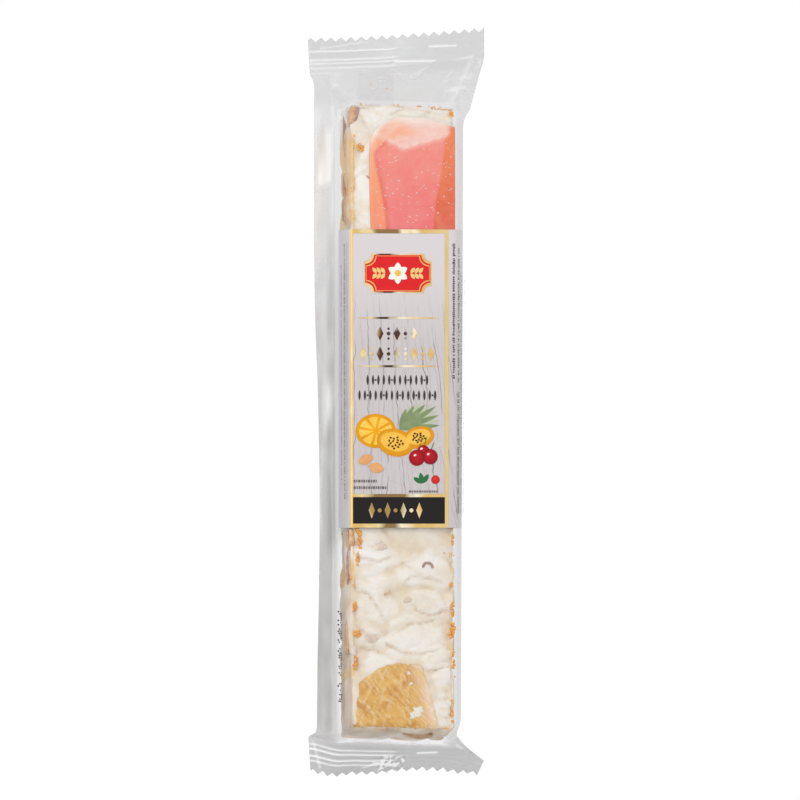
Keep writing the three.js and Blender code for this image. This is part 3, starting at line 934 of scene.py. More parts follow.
def facet_colour_and_light(x, y):
    """Colour of the pink fruit with its light and shade painted in: a flat front, an orange left edge, a deep
    right edge darkened as painted shade, a pale cap lightened as painted light, and a painted highlight along
    the cap's lower line.
    """
    down, left_line, right_line = facet_lines(y)
    left_line += 4.1 * smooth(65.5, 71.0, y)
    pale = tint(252, 206, 192)
    colour = Vector(tuple(colours().pink)).lerp(tint(245, 118, 116), down)
    left = tint(255, 172, 122).lerp(tint(254, 148, 104), down)
    right = tint(240, 118, 46).lerp(tint(230, 88, 34), down)
    line_share = smooth(left_line + 0.25, left_line - 0.25, x) * blend(0.35, 1.0, down)
    colour = colour.lerp(tint(236, 98, 74), line_share)
    # The orange left edge and the deep right edge paint the light and shade on those faces.
    colour = colour.lerp(left, smooth(left_line - 0.7, left_line - 1.5, x))
    colour = colour.lerp(right, smooth(right_line - 0.4, right_line + 0.4, x))
    away = x - CAP_X
    cap_line = CAP_Y + (0.5 if away < 0 else 0.33) * (math.sqrt(away * away + 1.0) - 1.0)
    ragged = cap_line + 0.5 * wobble((x, y * 0.5, 0), 2.0, 41.0)
    to_peach = math.hypot((x - PEACH_X) * 0.8, y - PEACH_Y) + 1.6 * wobble((x, y * 0.6, 0), 2.6, 47.0)
    cap = pale.lerp(tint(254, 184, 148), smooth(4.8, 1.4, to_peach))
    streak = smooth(0.0, 0.4, wobble((x * 0.35 + y * 0.5, y * 1.4 - x * 0.4, 0), 1.8, 44.0))
    cap = cap.lerp(tint(255, 230, 220), 0.35 * streak)
    inside = smooth(13.6, 11.6, x)
    # The pale cap paints the light on the fruit's top face.
    colour = colour.lerp(pale, 0.75 * smooth(ragged - 1.6, ragged + 0.4, y) * inside)
    colour = colour.lerp(cap, smooth(ragged - 0.4, ragged + 1.2, y) * inside)
    speckled = smooth(-0.6, 0.5, wobble((x, y, 0), 1.3, 43.0))
    # A speckled painted highlight along the cap's lower line.
    cap_line_highlight = 0.55 * math.exp(-((y - ragged - 0.4) / 0.5) ** 2) * speckled
    colour = colour.lerp(tint(255, 236, 226), cap_line_highlight * inside)
    rim = min((FRUIT_TOP - y) * 0.8, (x - fruit_edges(y)[0]) * 1.3)
    return colour.lerp(tint(252, 240, 230), smooth(3.2, 0.0, rim) * smooth(66.0, 72.0, y) * 0.9)


def pink_fruit_height(x, y):
    """Height of the fruit's front, with bevels running down to its edges."""
    left, right = fruit_edges(y)
    _, left_line, right_line = facet_lines(y)
    slope_left = smooth(0, left_line - left, x - left)
    slope_right = smooth(0, right - right_line, right - x)
    slope_top = smooth(0, 8.0, FRUIT_TOP - y)
    fall = 0.16 * (1 - slope_left) + 0.2 * (1 - slope_right) + 0.14 * (1 - slope_top)
    rim = min(x - left, right - x, (FRUIT_TOP - y) * 0.5)
    fall += 0.18 * (1 - smooth(0, 0.6, rim))
    return BOX_HEIGHT - 0.14 - fall + 0.04 * wobble((x, y, 0), 3.0, 9.9)


def pink_fruit_piece():
    bm = bmesh.new()

    def spot(u, v):
        y = blend(FRUIT_BOTTOM, FRUIT_TOP, 1 - (1 - v) ** 1.6)
        left, right = fruit_edges(y)
        x = blend(left, right, u)
        return Vector((x, y, pink_fruit_height(x, y)))

    mapped_grid(bm, 70, 80, spot)
    facet_shading = bm.verts.layers.float_color.new("facet_shading")
    for vert in bm.verts:
        vert[facet_shading] = (*facet_colour_and_light(vert.co.x, vert.co.y), 1.0)
    sink_copy(bm, 4.0, 0.5)
    return finish_piece("pink_fruit", bm, [pink_fruit_paint()], "fruit")


def sink_copy(bm, depth, taper):
    """Closes an open top by drawing its rim down into the bar and capping it."""
    bmesh.ops.remove_doubles(bm, verts=bm.verts, dist=1e-4)
    rim = [edge for edge in bm.edges if edge.is_boundary]
    walls = bmesh.ops.extrude_edge_only(bm, edges=rim)["geom"]
    lowered = [item for item in walls if isinstance(item, bmesh.types.BMVert)]
    middle = sum((vert.co for vert in lowered), Vector()) / len(lowered)
    for vert in lowered:
        inward = (middle - vert.co).normalized() * taper
        vert.co += Vector((inward.x, inward.y, -depth))
    floor_edges = [item for item in walls if isinstance(item, bmesh.types.BMEdge) and item.is_boundary]
    bmesh.ops.holes_fill(bm, edges=floor_edges)


# Crumbs of nougat stuck on the amber fruit: x, y, radius.
STUCK_CRUMBS = [(3.9, -87.6, 1.7), (2.7, -88.4, 1.1), (4.6, -86.6, 1.1), (1.6, -76.6, 0.7), (2.2, -79.5, 0.5)]


def amber_fruit_piece():
    """The amber chunk, with a few crumbs of nougat stuck on it."""
    bm = bmesh.new()
    crown = BOX_HEIGHT - sizes().film_gap

    def spot(u, v):
        x, y = chunk_place(u, v)
        rim = min(u * 20, (1 - u) * 20, (1 - v) * 17)
        fall = 0.4 * (1 - smooth(0, 0.8, rim)) + 0.5 * (1 - smooth(0, 0.06, v))
        fibre = 0.16 * noise.noise(fan_place(x, y) * 0.9) + 0.07 * wobble((x, y, 0), 1.0, 5.1)
        return Vector((x, y, crown + 0.06 - fall + fibre + 0.08 * wobble((x, y, 0), 4.0, 3.3)))

    mapped_grid(bm, 80, 66, spot)
    fan = bm.verts.layers.float_vector.new("fan")
    for vert in bm.verts:
        white = smooth(1.5, 7.5, vert.co.x + 0.25 * (vert.co.y + 80))
        vert[fan] = fan_place(vert.co.x, vert.co.y) + Vector((0, 0, white))
    sink_copy(bm, 3.5, 0.4)
    finish_piece("amber_fruit", bm, [amber_fruit_paint()], "fruit")
    bm = bmesh.new()
    for seed, (x, y, radius) in enumerate(STUCK_CRUMBS):
        pebble(bm, (x, y, crown - 0.25), (radius, radius, 0.5), 0, seed * 5.1, 3, 0.5)
    paint = crumb_paint("crumb_white", linear(252, 246, 236), linear(240, 224, 200))
    return finish_piece("nougat_crumbs", bm, [paint], "nougat")


FAN_X, FAN_Y = 3.0, -58.0


def fan_place(x, y):
    """Coordinates whose first number counts fibres and whose second runs along them."""
    away_x, away_y = x - FAN_X, FAN_Y - y
    return Vector((math.atan2(away_x, away_y) * 26, math.hypot(away_x, away_y) * 0.16, 0.0))


def pebble(bm, centre, radii, turn, seed, facets=2, rough=0.18, pressed=True):
    """Adds one rough lump, flattened where it would press through the film."""
    half, crown = sizes().bar_width / 2 + 0.18, BOX_HEIGHT - 0.14
    made = bmesh.ops.create_icosphere(bm, subdivisions=facets, radius=1.0)["verts"]
    spin = Matrix.Rotation(math.radians(turn), 3, "Z")
    shift = Vector((seed, seed * 1.3, -seed))
    for vert in made:
        swell = 1 + rough * (noise.noise(vert.co * 1.3 + shift) + 0.6 * noise.noise(vert.co * 3.1 + shift))
        local = Vector([vert.co[i] * radii[i] * swell for i in range(3)])
        vert.co = Vector(centre) + spin @ local
        if pressed:
            vert.co.x = min(max(vert.co.x, -half), half)
            vert.co.z = min(vert.co.z, crown)


# Nuts: x, y, z, half breadth, half length, half height, turn.
NUTS = [
    (-14.0, 76.2, 14.9, 1.5, 2.9, 2.2, -14), (-14.2, -39.6, 14.0, 1.5, 3.2, 3.0, 4),
    (13.9, -80.0, 8.0, 1.0, 4.0, 2.5, 0), (-14.4, 69.5, 8.6, 0.45, 4.0, 0.35, 0),
    (-14.4, 52.0, 8.6, 0.45, 4.5, 0.5, 0), (-14.3, -66.5, 11.0, 0.7, 4.6, 2.4, 0),
    (13.9, 30.0, 7.0, 1.0, 5.0, 2.2, 0), (14.0, -20.0, 9.0, 0.9, 4.5, 2.4, 0),
    (-3.0, 79.9, 7.5, 3.6, 0.9, 2.6, 0), (6.0, -92.3, 7.0, 4.0, 0.9, 2.2, 0),
    (-14.3, 20.0, 8.0, 0.8, 6.0, 2.0, 0), (-14.3, -12.0, 6.0, 0.8, 5.0, 1.8, 0),
    (-4.7, -55.1, 16.6, 0.8, 0.32, 0.2, 30), (-3.9, -54.6, 16.6, 0.25, 0.6, 0.2, 0),
]
PALE_NUTS = [
    (-6.3, -42.2, 15.5, 2.6, 1.7, 0.85, 10), (-8.2, -67.2, 15.2, 3.2, 2.2, 1.15, 16),
    (-13.4, -70.8, 15.1, 1.0, 1.6, 1.0, 0), (1.6, -56.5, 15.75, 1.2, 0.7, 0.6, 30),
]
NUT_SKINS = [
    (-12.9, 76.5, 15.6, 0.75, 2.3, 1.2, -14), (-14.4, 73.0, 7.4, 0.5, 5.2, 0.32, 0),
    (-14.4, 58.6, 7.0, 0.5, 3.2, 0.4, 0), (-14.4, 52.0, 6.2, 0.5, 3.2, 0.75, 0),
    (14.2, -79.0, 9.0, 0.8, 3.0, 1.6, 0), (-9.6, 59.4, 16.5, 0.8, 0.3, 0.35, -35),
    (14.15, 27.0, 8.0, 0.8, 3.4, 1.4, 0), (-14.45, -47.5, 12.6, 0.55, 4.6, 0.5, 0),
    (11.4, -43.4, 16.75, 0.22, 0.2, 0.15, 0), (-15.0, -38.0, 15.2, 0.8, 2.2, 0.8, 0),
    (9.3, -77.2, 16.1, 0.7, 0.4, 0.35, 20), (9.0, -87.0, 16.3, 0.5, 0.35, 0.3, 0),
]
ARCH_X, ARCH_Y, ARCH_Z, ARCH_RADIUS, ARCH_LUMPS = 6.9, -47.4, 16.55, 1.3, 9


def nut_pieces():
    """Nuts, paler ones under the nougat, shreds of brown skin, and one skin that shows as an arch."""
    groups = (("nuts", NUTS, "nut_flesh", linear(230, 192, 150), linear(200, 152, 110)),
              ("pale_nuts", PALE_NUTS, "nut_pale", linear(240, 224, 206), linear(216, 196, 178)),
              ("nut_skins", NUT_SKINS, "nut_skin", linear(202, 162, 146), linear(164, 126, 116)))
    for name, places, paint, first, second in groups:
        bm = bmesh.new()
        for seed, (x, y, z, breadth, length, height, turn) in enumerate(places):
            pebble(bm, (x, y, z), (breadth, length, height), turn, seed * 3.7, 3, 0.24)
        if name == "nut_skins":
            for index in range(ARCH_LUMPS):
                angle = math.pi * (0.08 + 0.84 * index / (ARCH_LUMPS - 1))
                x, y = ARCH_X + ARCH_RADIUS * math.cos(angle), ARCH_Y + 1.2 * math.sin(angle)
                pebble(bm, (x, y, ARCH_Z), (0.5, 0.38, 0.22), 90 + math.degrees(angle), index, 2, 0.3)
        finish_piece(name, bm, [crumb_paint(paint, first, second, 0.5)], "nut")


# Crumbs of orange fruit: x, y, z, half breadth, half length, half height, turn.
CRUMBS = [
    (-11.9, 67.6, 16.6, 0.9, 1.1, 0.4, 20), (-11.9, -40.6, 16.4, 0.5, 2.4, 0.5, 3),
    (-12.3, -38.2, 16.3, 0.5, 0.7, 0.5, 40), (-12.5, -45.6, 16.4, 0.45, 1.7, 0.4, 0),
    (-12.9, -65.9, 16.4, 1.2, 0.7, 0.45, 10), (-12.2, -66.5, 16.4, 0.7, 0.6, 0.4, 60),
    (-13.3, -58.8, 16.2, 0.5, 1.4, 0.35, 0), (-12.9, -74.2, 16.2, 0.4, 1.9, 0.35, 0),
    (13.6, -52.0, 16.2, 0.4, 0.8, 0.5, 0), (14.0, -58.0, 15.8, 0.4, 2.6, 0.9, 0),
    (13.8, -63.6, 16.1, 0.8, 1.3, 0.7, 4), (13.5, -65.6, 16.1, 0.7, 0.7, 0.6, 40),
    (14.1, -73.6, 15.7, 0.4, 1.2, 0.6, 0), (14.1, -70.5, 15.7, 0.3, 1.2, 0.5, 0),
    (13.9, -88.0, 15.9, 0.35, 2.2, 0.5, 0), (13.9, -39.4, 16.2, 0.3, 1.6, 0.5, 0),
    (12.2, -91.4, 16.0, 0.9, 0.3, 0.3, 0), (-12.4, -91.0, 16.0, 1.0, 0.5, 0.4, 0),
    (0.5, -91.3, 16.1, 1.3, 0.25, 0.3, 0), (13.6, 77.6, 16.2, 0.5, 0.8, 0.3, 0),
    (9.8, 79.1, 16.2, 2.4, 0.25, 0.2, -3), (4.2, 79.5, 16.1, 0.5, 0.25, 0.2, 0),
]
EDGE_CRUMBS = 150
LOOSE_CRUMBS = [(-7.8, 85.8), (-3.4, 84.8)]


def crumb_cluster(bm, centre, radii, turn, draw):
    """Grains heaped in an oval."""
    spin = Matrix.Rotation(math.radians(turn), 2)
    for index in range(max(5, round(radii[0] * radii[1] * 24))):
        angle, reach = draw.uniform(0, math.tau), math.sqrt(draw.random())
        offset = spin @ Vector((radii[0] * reach * math.cos(angle), radii[1] * reach * math.sin(angle)))
        grain = min(draw.uniform(0.18, 0.42), max(0.12, 0.8 * min(radii)))
        middle = (centre[0] + offset.x, centre[1] + offset.y, centre[2] + draw.uniform(-0.2, 0.1))
        grain_radii = (grain, grain * draw.uniform(0.7, 1.5), grain * 0.8)
        pebble(bm, middle, grain_radii, draw.uniform(0, 180), index * 3.1, 2, 0.7)


def crumb_piece():
    """Named crumbs, and a scatter of small ones along the bar's edges and ends."""
    draw = random.Random(51)
    patch = 0.0
    size = sizes()
    half, top, bottom = size.bar_width / 2, size.bar_top, size.bar_top - size.bar_length
    bm = bmesh.new()
    for x, y, z, breadth, length, height, turn in CRUMBS:
        crumb_cluster(bm, (x, y, z), (breadth, length, height), turn, draw)
    for index in range(EDGE_CRUMBS):
        radius = draw.uniform(0.1, 0.26)
        side = draw.choice((-1, 1))
        if index % 4 == 0:
            x, y = draw.uniform(-half + 1, half - 1), draw.choice((top - 0.3, bottom + 0.3))
            z = draw.choice((draw.uniform(14.5, 15.9), draw.uniform(2, 14)))
        else:
            if index % 6 == 1:
                patch = draw.uniform(bottom + 2, top - 2)
            x, y = side * (half - draw.uniform(0.1, 1.5)), patch + draw.uniform(-2.2, 2.2)
            z = draw.choice((draw.uniform(15.8, 16.4), draw.uniform(1, 15), draw.uniform(1, 15)))
        radii = (radius, radius * draw.uniform(0.8, 1.7), radius)
        pebble(bm, (x, y, z), radii, draw.uniform(0, 90), index, 2, 0.6)
    for index, (x, y) in enumerate(LOOSE_CRUMBS):
        pebble(bm, (x, y, 11.8), (0.3, 0.25, 0.2), 0, index, 1, 0.4)
    paint = crumb_paint("orange_crumb", linear(250, 156, 36), linear(252, 196, 92), 0.4)
    return finish_piece("fruit_crumbs", bm, [paint], "fruit")


def sugar_piece():
    """Grains of sugar on the pink fruit, some in small clusters."""
    draw = random.Random(7)
    middle_x, y = 0.0, 55.0
    bm = bmesh.new()
    for index in range(sizes().sugar_grains):
        if index % 3:
            y = draw.uniform(44.0, 70.5)
            left, right = fruit_edges(y)
            middle_x = draw.uniform(left + 0.6, right - 0.5)
        x = middle_x + (draw.uniform(-0.5, 0.5) if index % 3 == 0 else 0.0)
        radius = draw.choice((0.08, 0.1, 0.12, 0.17))
        centre = (x, y + (draw.uniform(-0.4, 0.4) if index % 3 == 0 else 0.0), pink_fruit_height(x, y) + 0.02)
        radii = (radius, radius * draw.uniform(0.6, 1.5), 0.06)
        pebble(bm, centre, radii, draw.uniform(0, 180), index, 1, 0.5, pressed=False)
    paint = crumb_paint("sugar", linear(255, 250, 246), linear(255, 238, 230), 0.25)
    return finish_piece("sugar_grains", bm, [paint], "fruit")


# The printed band. Its places are millimetres from the panel's lower left corner: s across, t up.

BAND_BOTTOM, BAND_HEIGHT, BAND_LEFT, BAND_WIDTH = -37.3, 82.1, -14.7, 27.2
BAND_FLAT, BAND_SKEW, STRIP_RISE = 15, 0.03, 0.14
RIGHT_STRIP, LEFT_STRIP = 17.5, 8.8
LAYER, HAIR = 0.03, 0.0015
RAIL_LEFT, RAIL_RIGHT, RAIL_END = 0.7, 1.0, 1.1
DARK_BOTTOM, DARK_TOP, DARK_RAIL = 1.1, 8.4, 0.85


def band_place(s, t, lift):
    """A place on the film from panel millimetres; the panel sits a little askew."""
    across = BAND_LEFT + s
    skew = BAND_SKEW * (min(max(across, -BAND_FLAT), BAND_FLAT) + BAND_FLAT)
    rise = STRIP_RISE * max(0.0, abs(across) - BAND_FLAT)
    return on_film(across, BAND_BOTTOM + t + skew + rise, lift)


def band_patch(bm, s_range, t_range, lift, step=0.8):
    """A four-sided patch of the band, with enough faces to follow the film."""
    columns = max(1, round((s_range[1] - s_range[0]) / step))
    rows = max(1, round((t_range[1] - t_range[0]) / 4))
    return mapped_grid(
        bm, columns, rows, lambda u, v: band_place(blend(*s_range, u), blend(*t_range, v), lift))


def thicken(bm, depth):
    """Gives a flat layer of ink or foil its other side."""
    bmesh.ops.recalc_face_normals(bm, faces=bm.faces)
    made = bmesh.ops.extrude_face_region(bm, geom=bm.faces[:])["geom"]
    for item in made:
        if isinstance(item, bmesh.types.BMVert):
            item.co.z -= depth


class Shapes:
    """Flat shapes in panel millimetres, laid on the band in one piece, each a hair above the last."""

    def __init__(self):
        self.bm = bmesh.new()
        self.rim = self.bm.verts.layers.float.new("rim")
        self.count = 0

    def rise(self):
        self.count += 1
        return self.count * HAIR

    def polygon(self, points):
        height = self.rise()
        self.bm.faces.new([self.bm.verts.new((s, t, height)) for s, t in points])

    def oval(self, s, t, half_width, half_height, turn=0.0, sides=28, shade=0.0, light=(-0.25, 0.3)):
        """A round shape, shaded towards its rim, with its light off centre."""
        circle = bmesh.ops.create_circle(self.bm, cap_ends=True, cap_tris=True, radius=1.0, segments=sides)
        made = circle["verts"]
        height = self.rise()
        for vert in made:
            at_rim = vert.co.length > 0.5
            vert[self.rim] = shade if at_rim else 0.0
            if not at_rim:
                vert.co = (*light, 0)
        bmesh.ops.scale(self.bm, vec=(half_width, half_height, 1), verts=made)
        spin = Matrix.Rotation(math.radians(turn), 3, "Z")
        bmesh.ops.rotate(self.bm, cent=(0, 0, 0), matrix=spin, verts=made)
        bmesh.ops.translate(self.bm, vec=(s, t, height), verts=made)

    def box(self, s, t, half_width, half_height, turn=0.0):
        signs = (-1, -1), (1, -1), (1, 1), (-1, 1)
        corners = [Vector((a * half_width, b * half_height)) for a, b in signs]
        spin = Matrix.Rotation(math.radians(turn), 2)
        self.polygon([Vector((s, t)) + spin @ corner for corner in corners])

    def diamond(self, s, t, half_width, half_height):
        self.polygon([(s - half_width, t), (s, t - half_height), (s + half_width, t), (s, t + half_height)])

    def taper(self, s, t, half_width, half_height):
        """A rule that thins to points at both ends."""
        parts = 12
        shares = [i / parts for i in range(1, parts)]
        upper = [(s + half_width * (2 * share - 1), t + half_height * math.sin(math.pi * share) ** 0.4)
                 for share in shares]
        lower = [(a, 2 * t - b) for a, b in reversed(upper)]
        self.polygon([(s - half_width, t)] + lower[::-1] + [(s + half_width, t)] + upper[::-1])

    def leaf(self, s, t, length, breadth, turn):
        """A pointed leaf that starts at s, t and grows at an angle."""
        spin = Matrix.Rotation(math.radians(turn), 2)
        parts = 8
        shares = [i / parts for i in range(parts + 1)]
        right = [Vector((breadth * math.sin(math.pi * share) ** 0.8, length * share)) for share in shares]
        left = [Vector((-point.x, point.y)) for point in reversed(right[1:-1])]
        self.polygon([Vector((s, t)) + spin @ point for point in right + left])

    def lay(self, name, paint, level, slot="print"):
        """Puts the shapes on the film, one layer above the last."""
        for vert in self.bm.verts:
            vert.co = band_place(vert.co.x, vert.co.y, LAYER * level + vert.co.z)
        bmesh.ops.triangulate(self.bm, faces=[face for face in self.bm.faces if len(face.verts) > 4])
        thicken(self.bm, LAYER * 0.4)
        return finish_piece(name, self.bm, [paint], slot, shade_smooth=False, merge=1e-5)


def band_ground():
    """The pale ground of the panel and of the strips down both sides."""
    bm = bmesh.new()
    band_patch(bm, (-LEFT_STRIP, BAND_WIDTH + RIGHT_STRIP), (0, BAND_HEIGHT), LAYER, 0.45)
    where = bm.verts.layers.float_vector.new("band")
    for vert in bm.verts:
        vert[where] = (vert.co.x / BAND_WIDTH + 0.5, (vert.co.y - BAND_BOTTOM) / BAND_HEIGHT, 0.0)
    return finish_piece("band_ground", bm, [board_paint()], "print", merge=1e-5)


def band_frame():
    """Gold rails round the panel, and the dark foot of the panel."""
    bm = bmesh.new()
    lift = 3 * LAYER
    inner_left, inner_right = RAIL_LEFT, BAND_WIDTH - RAIL_RIGHT
    band_patch(bm, (0, RAIL_LEFT), (0, BAND_HEIGHT), lift, 0.27)
    band_patch(bm, (inner_right, BAND_WIDTH), (0, BAND_HEIGHT), lift, 0.4)
    for low, high in ((0, RAIL_END), (BAND_HEIGHT - RAIL_END, BAND_HEIGHT), (DARK_TOP, DARK_TOP + DARK_RAIL)):
        band_patch(bm, (inner_left, inner_right), (low, high), lift)
    finish_piece("gold_frame", bm, [foil_paint("rail_foil", 0.7)], "gold", merge=1e-5)
    bm = bmesh.new()
    band_patch(bm, (inner_left, inner_right), (DARK_BOTTOM, DARK_TOP), 2 * LAYER)
    finish_piece("dark_foot", bm, [ink_paint("dark_ink", linear(30, 26, 26))], "print", merge=1e-5)


# The emblem's middle, its half sizes, and the radius bitten out of each corner.
EMBLEM_S, EMBLEM_T, EMBLEM_HALF_S, EMBLEM_HALF_T, EMBLEM_BITE = 13.1, 70.0, 9.4, 5.4, 2.1


def emblem():
    """A red plaque with a gold rim and a white blossom."""
    layers = (("emblem_rim", 0.0, foil_paint(), 3, "gold"),
              ("emblem_field", -0.7, ink_paint("red_ink", tuple(colours().emblem)), 4, "print"),
              ("emblem_line", -1.15, ink_paint("line_ink", linear(236, 190, 110)), 5, "print"),
              ("emblem_heart", -1.4, ink_paint("heart_ink", tuple(colours().emblem)), 6, "print"))
    for name, grow, paint, level, slot in layers:
        shapes = Shapes()
        points = []
        radius = EMBLEM_BITE - grow * 0.5
        for quarter, (sign_s, sign_t) in enumerate(((1, 1), (-1, 1), (-1, -1), (1, -1))):
            corner = Vector((EMBLEM_S + sign_s * (EMBLEM_HALF_S + grow * 0.5),
                             EMBLEM_T + sign_t * (EMBLEM_HALF_T + grow * 0.5)))
            for turn in range(6, -1, -1) if quarter % 2 == 0 else range(7):
                angle = math.pi / 2 * turn / 6
                inward = Vector((sign_s * math.cos(angle), sign_t * math.sin(angle)))
                points.append(corner - inward * radius)
        shapes.polygon(points)
        shapes.lay(name, paint, level, slot)
    blossom(EMBLEM_S, EMBLEM_T)


def blossom(s, t):
    """Six white petals round a yellow heart, between two sprigs."""
    petals, heart, sprigs = Shapes(), Shapes(), Shapes()
    for index in range(6):
        petals.leaf(s, t, 3.0, 0.95, index * 60)
    heart.oval(s, t, 0.85, 0.85)
    for side in (-1, 1):
        for index in range(3):
            sprigs.leaf(s + side * (3.6 + index * 1.15), t, 1.9, 0.5, -side * 35)
            sprigs.leaf(s + side * (3.6 + index * 1.15), t, 1.9, 0.5, 180 + side * 35)
    petals.lay("blossom", ink_paint("petal_ink", linear(250, 246, 236)), 7)
    heart.lay("blossom_heart", ink_paint("heart_yellow", linear(244, 196, 70)), 8)
    sprigs.lay("emblem_sprigs", ink_paint("sprig_gold", linear(240, 204, 130)), 7)


def ornaments():
    """Gold rules, rows of gold diamonds, rows of small dark leaves and the ornament in the foot."""
    rules, gold, dark = Shapes(), Shapes(), Shapes()
    for t in (57.7, 44.4):
        rules.taper(13.2, t, 11.4, 0.3)
    rules.lay("gold_rules", foil_paint(), 3, "gold")
    for count, t, size in ((5, 53.4, 1.9), (9, 47.8, 2.0)):
        for index in range(count):
            s = 12.9 + (index - (count - 1) / 2) * 2.35
            if index % 2:
                gold.oval(s, t, 0.5, 0.5)
                for side in (-1, 1):
                    gold.oval(s, t + side * size * 0.7, 0.32, 0.32)
            else:
                gold.diamond(s, t, 0.95, size)
    gold.lay("gold_ornament", foil_paint("gold_letters"), 3, "gold")
    for count, t in ((12, 40.6), (15, 36.4)):
        for index in range(count):
            s = 13.0 + (index - (count - 1) / 2) * 1.5
            dark.leaf(s, t - 1.45, 2.9, 0.32, 0)
            if index % 3 == 1:
                dark.oval(s + 0.75, t, 0.26, 0.26, sides=12)
    captions = Shapes()
    for start, end, t, half_height, widths in ((0.9, 7.6, 12.8, 0.36, (0.5, 0.3, 0.6, 0.4)),
                                               (0.9, 10.4, 11.0, 0.36, (0.6, 0.35, 0.5, 0.3)),
                                               (16.2, 24.8, 9.95, 0.26, (0.6, 0.35, 0.5, 0.4))):
        greek_row(captions, start, end, t, half_height, widths, 0.22)
    captions.lay("caption_bars", ink_paint("caption_ink", linear(112, 104, 106)), 3)
    dark.lay("dark_rows", ink_paint("row_ink", linear(62, 58, 62)), 3)
    foot = Shapes()
    for index in range(7):
        s = 12.5 + (index - 3) * 2.2
        if index % 2:
            foot.oval(s, 4.75, 0.55, 0.55)
        else:
            foot.diamond(s, 4.75, 0.85, 2.2)
    foot.lay("foot_ornament", foil_paint("foot_gold", 0.5), 3, "gold")


def greek_row(shapes, start, end, t, half_height, widths, gap):
    """A row of plain bars as wide as words."""
    s, index = start, 0
    while s < end - 0.6:
        width = min(widths[index % len(widths)], end - s)
        shapes.box(s + width / 2, t, width / 2, half_height)
        s += width + gap
        index += 1


# The still life: soft shadows, the crown's blades (turn, length), yellow ovals and berries.
SHADOW_LIFT = 4.0
SHADOW_OVALS = [(8.0, 19.4, 5.6, 1.5), (15.4, 16.6, 5.0, 1.3), (21.0, 18.9, 4.4, 1.2), (5.6, 13.6, 3.2, 0.7)]
CROWN_S, CROWN_T = 13.6, 27.0
LEAF_BLADES = [(-18, 6.0), (-32, 7.8), (-46, 10.0), (-58, 12.0), (-70, 11.6), (-84, 11.2)]
PALE_BLADES = [(-25, 7.0), (-39, 9.4), (-52, 11.4), (-64, 11.8), (-77, 11.4)]
YELLOW_OVALS = [(18.9, 24.8, 4.4, 3.0, 16), (12.4, 23.4, 5.2, 3.8, -14)]
BERRIES = [(20.2, 21.0, 1.7), (22.1, 19.5, 2.1), (18.4, 19.2, 2.2)]
# Inks of the still life: a name, its tone, and a second tone where it has one.
STILL_LIFE_INKS = [
    ("shadow_ink", (206, 198, 196)),
    ("pale_leaf", (186, 196, 164)),
    ("leaf_green", (138, 154, 112), (104, 124, 84)),
    ("fruit_yellow", (246, 178, 26), (226, 138, 20)),
    ("flesh_yellow", (252, 206, 88), (242, 168, 50)),
    ("seed_brown", (70, 44, 26)),
    ("stalk_green", (96, 132, 58)),
    ("berry_red", (214, 26, 44), (160, 12, 30)),
    ("shine_white", (255, 236, 232)),
    ("almond_tan", (228, 170, 112), (202, 136, 80)),
    ("sprig_green", (44, 112, 66)),
    ("sprig_red", (226, 48, 44)),
]


def printed_fruit():
    """A plain still life: a citrus wheel, yellow ovals, red berries, leaves and almonds."""
    skins, flesh, seeds, leaves, pale_leaves, berries, shine = [Shapes() for _ in range(7)]
    almonds, shadows, stalks, rind, pulp, sprig, cherry = [Shapes() for _ in range(7)]
    for s, t, wide, high in SHADOW_OVALS:
        shadows.oval(s, t + SHADOW_LIFT, wide, high)
    for blades, lengths, breadth in ((leaves, LEAF_BLADES, 0.75), (pale_leaves, PALE_BLADES, 0.55)):
        for turn, length in lengths:
            blades.leaf(CROWN_S, CROWN_T, length, breadth, turn)
    for s, t, wide, high, turn in YELLOW_OVALS:
        skins.oval(s, t, wide, high, turn, shade=0.5)
        flesh.oval(s - 0.1, t + 0.2, wide * 0.78, high * 0.68, turn, shade=0.25)
        for index in range(16):
            angle, reach = 2.4 * index, 0.11 * math.sqrt(index + 1)
            at_s, at_t = s + wide * reach * math.cos(angle), t + high * reach * math.sin(angle)
            seeds.oval(at_s, at_t, 0.36, 0.26, index * 51, 8)
    citrus_wheel(rind, pulp, 7.0, 26.6, 5.6)
    for s, t, radius in BERRIES:
        berries.oval(s, t, radius, radius, shade=0.9, light=(-0.35, 0.4))
        shine.oval(s - 0.55, t + 0.7, 0.4, 0.26, 30, 14)
        stalks.leaf(s + 0.1, t + 1.4, 3.0, 0.13, -20)
    for s, t, turn in ((2.2, 17.8, -66), (4.9, 17.0, -104)):
        almonds.leaf(s, t, 4.5, 1.35, turn)
    for turn in (58, 12, -34):
        sprig.leaf(20.0, 12.2, 3.0, 0.65, turn)
    cherry.oval(23.6, 13.2, 1.2, 1.2, shade=0.7)
    inks = {name: ink_paint(name, *[linear(*tone) for tone in tones]) for name, *tones in STILL_LIFE_INKS}
    for shapes, name, ink, level in (
            (shadows, "print_shadow", "shadow_ink", 2),
            (pale_leaves, "print_leaves_pale", "pale_leaf", 2.5),
            (leaves, "print_leaves", "leaf_green", 3),
            (rind, "print_wheel", "fruit_yellow", 3.4),
            (skins, "print_fruit", "fruit_yellow", 4.2),
            (pulp, "print_wheel_flesh", "flesh_yellow", 3.8),
            (flesh, "print_flesh", "flesh_yellow", 5),
            (seeds, "print_seeds", "seed_brown", 6),
            (stalks, "print_stalks", "stalk_green", 6),
            (berries, "print_berries", "berry_red", 7),
            (shine, "print_shine", "shine_white", 9),
            (almonds, "print_almonds", "almond_tan", 7),
            (sprig, "print_sprig", "sprig_green", 3),
            (cherry, "print_sprig_fruit", "sprig_red", 3)):
        shapes.lay(name, inks[ink], level)


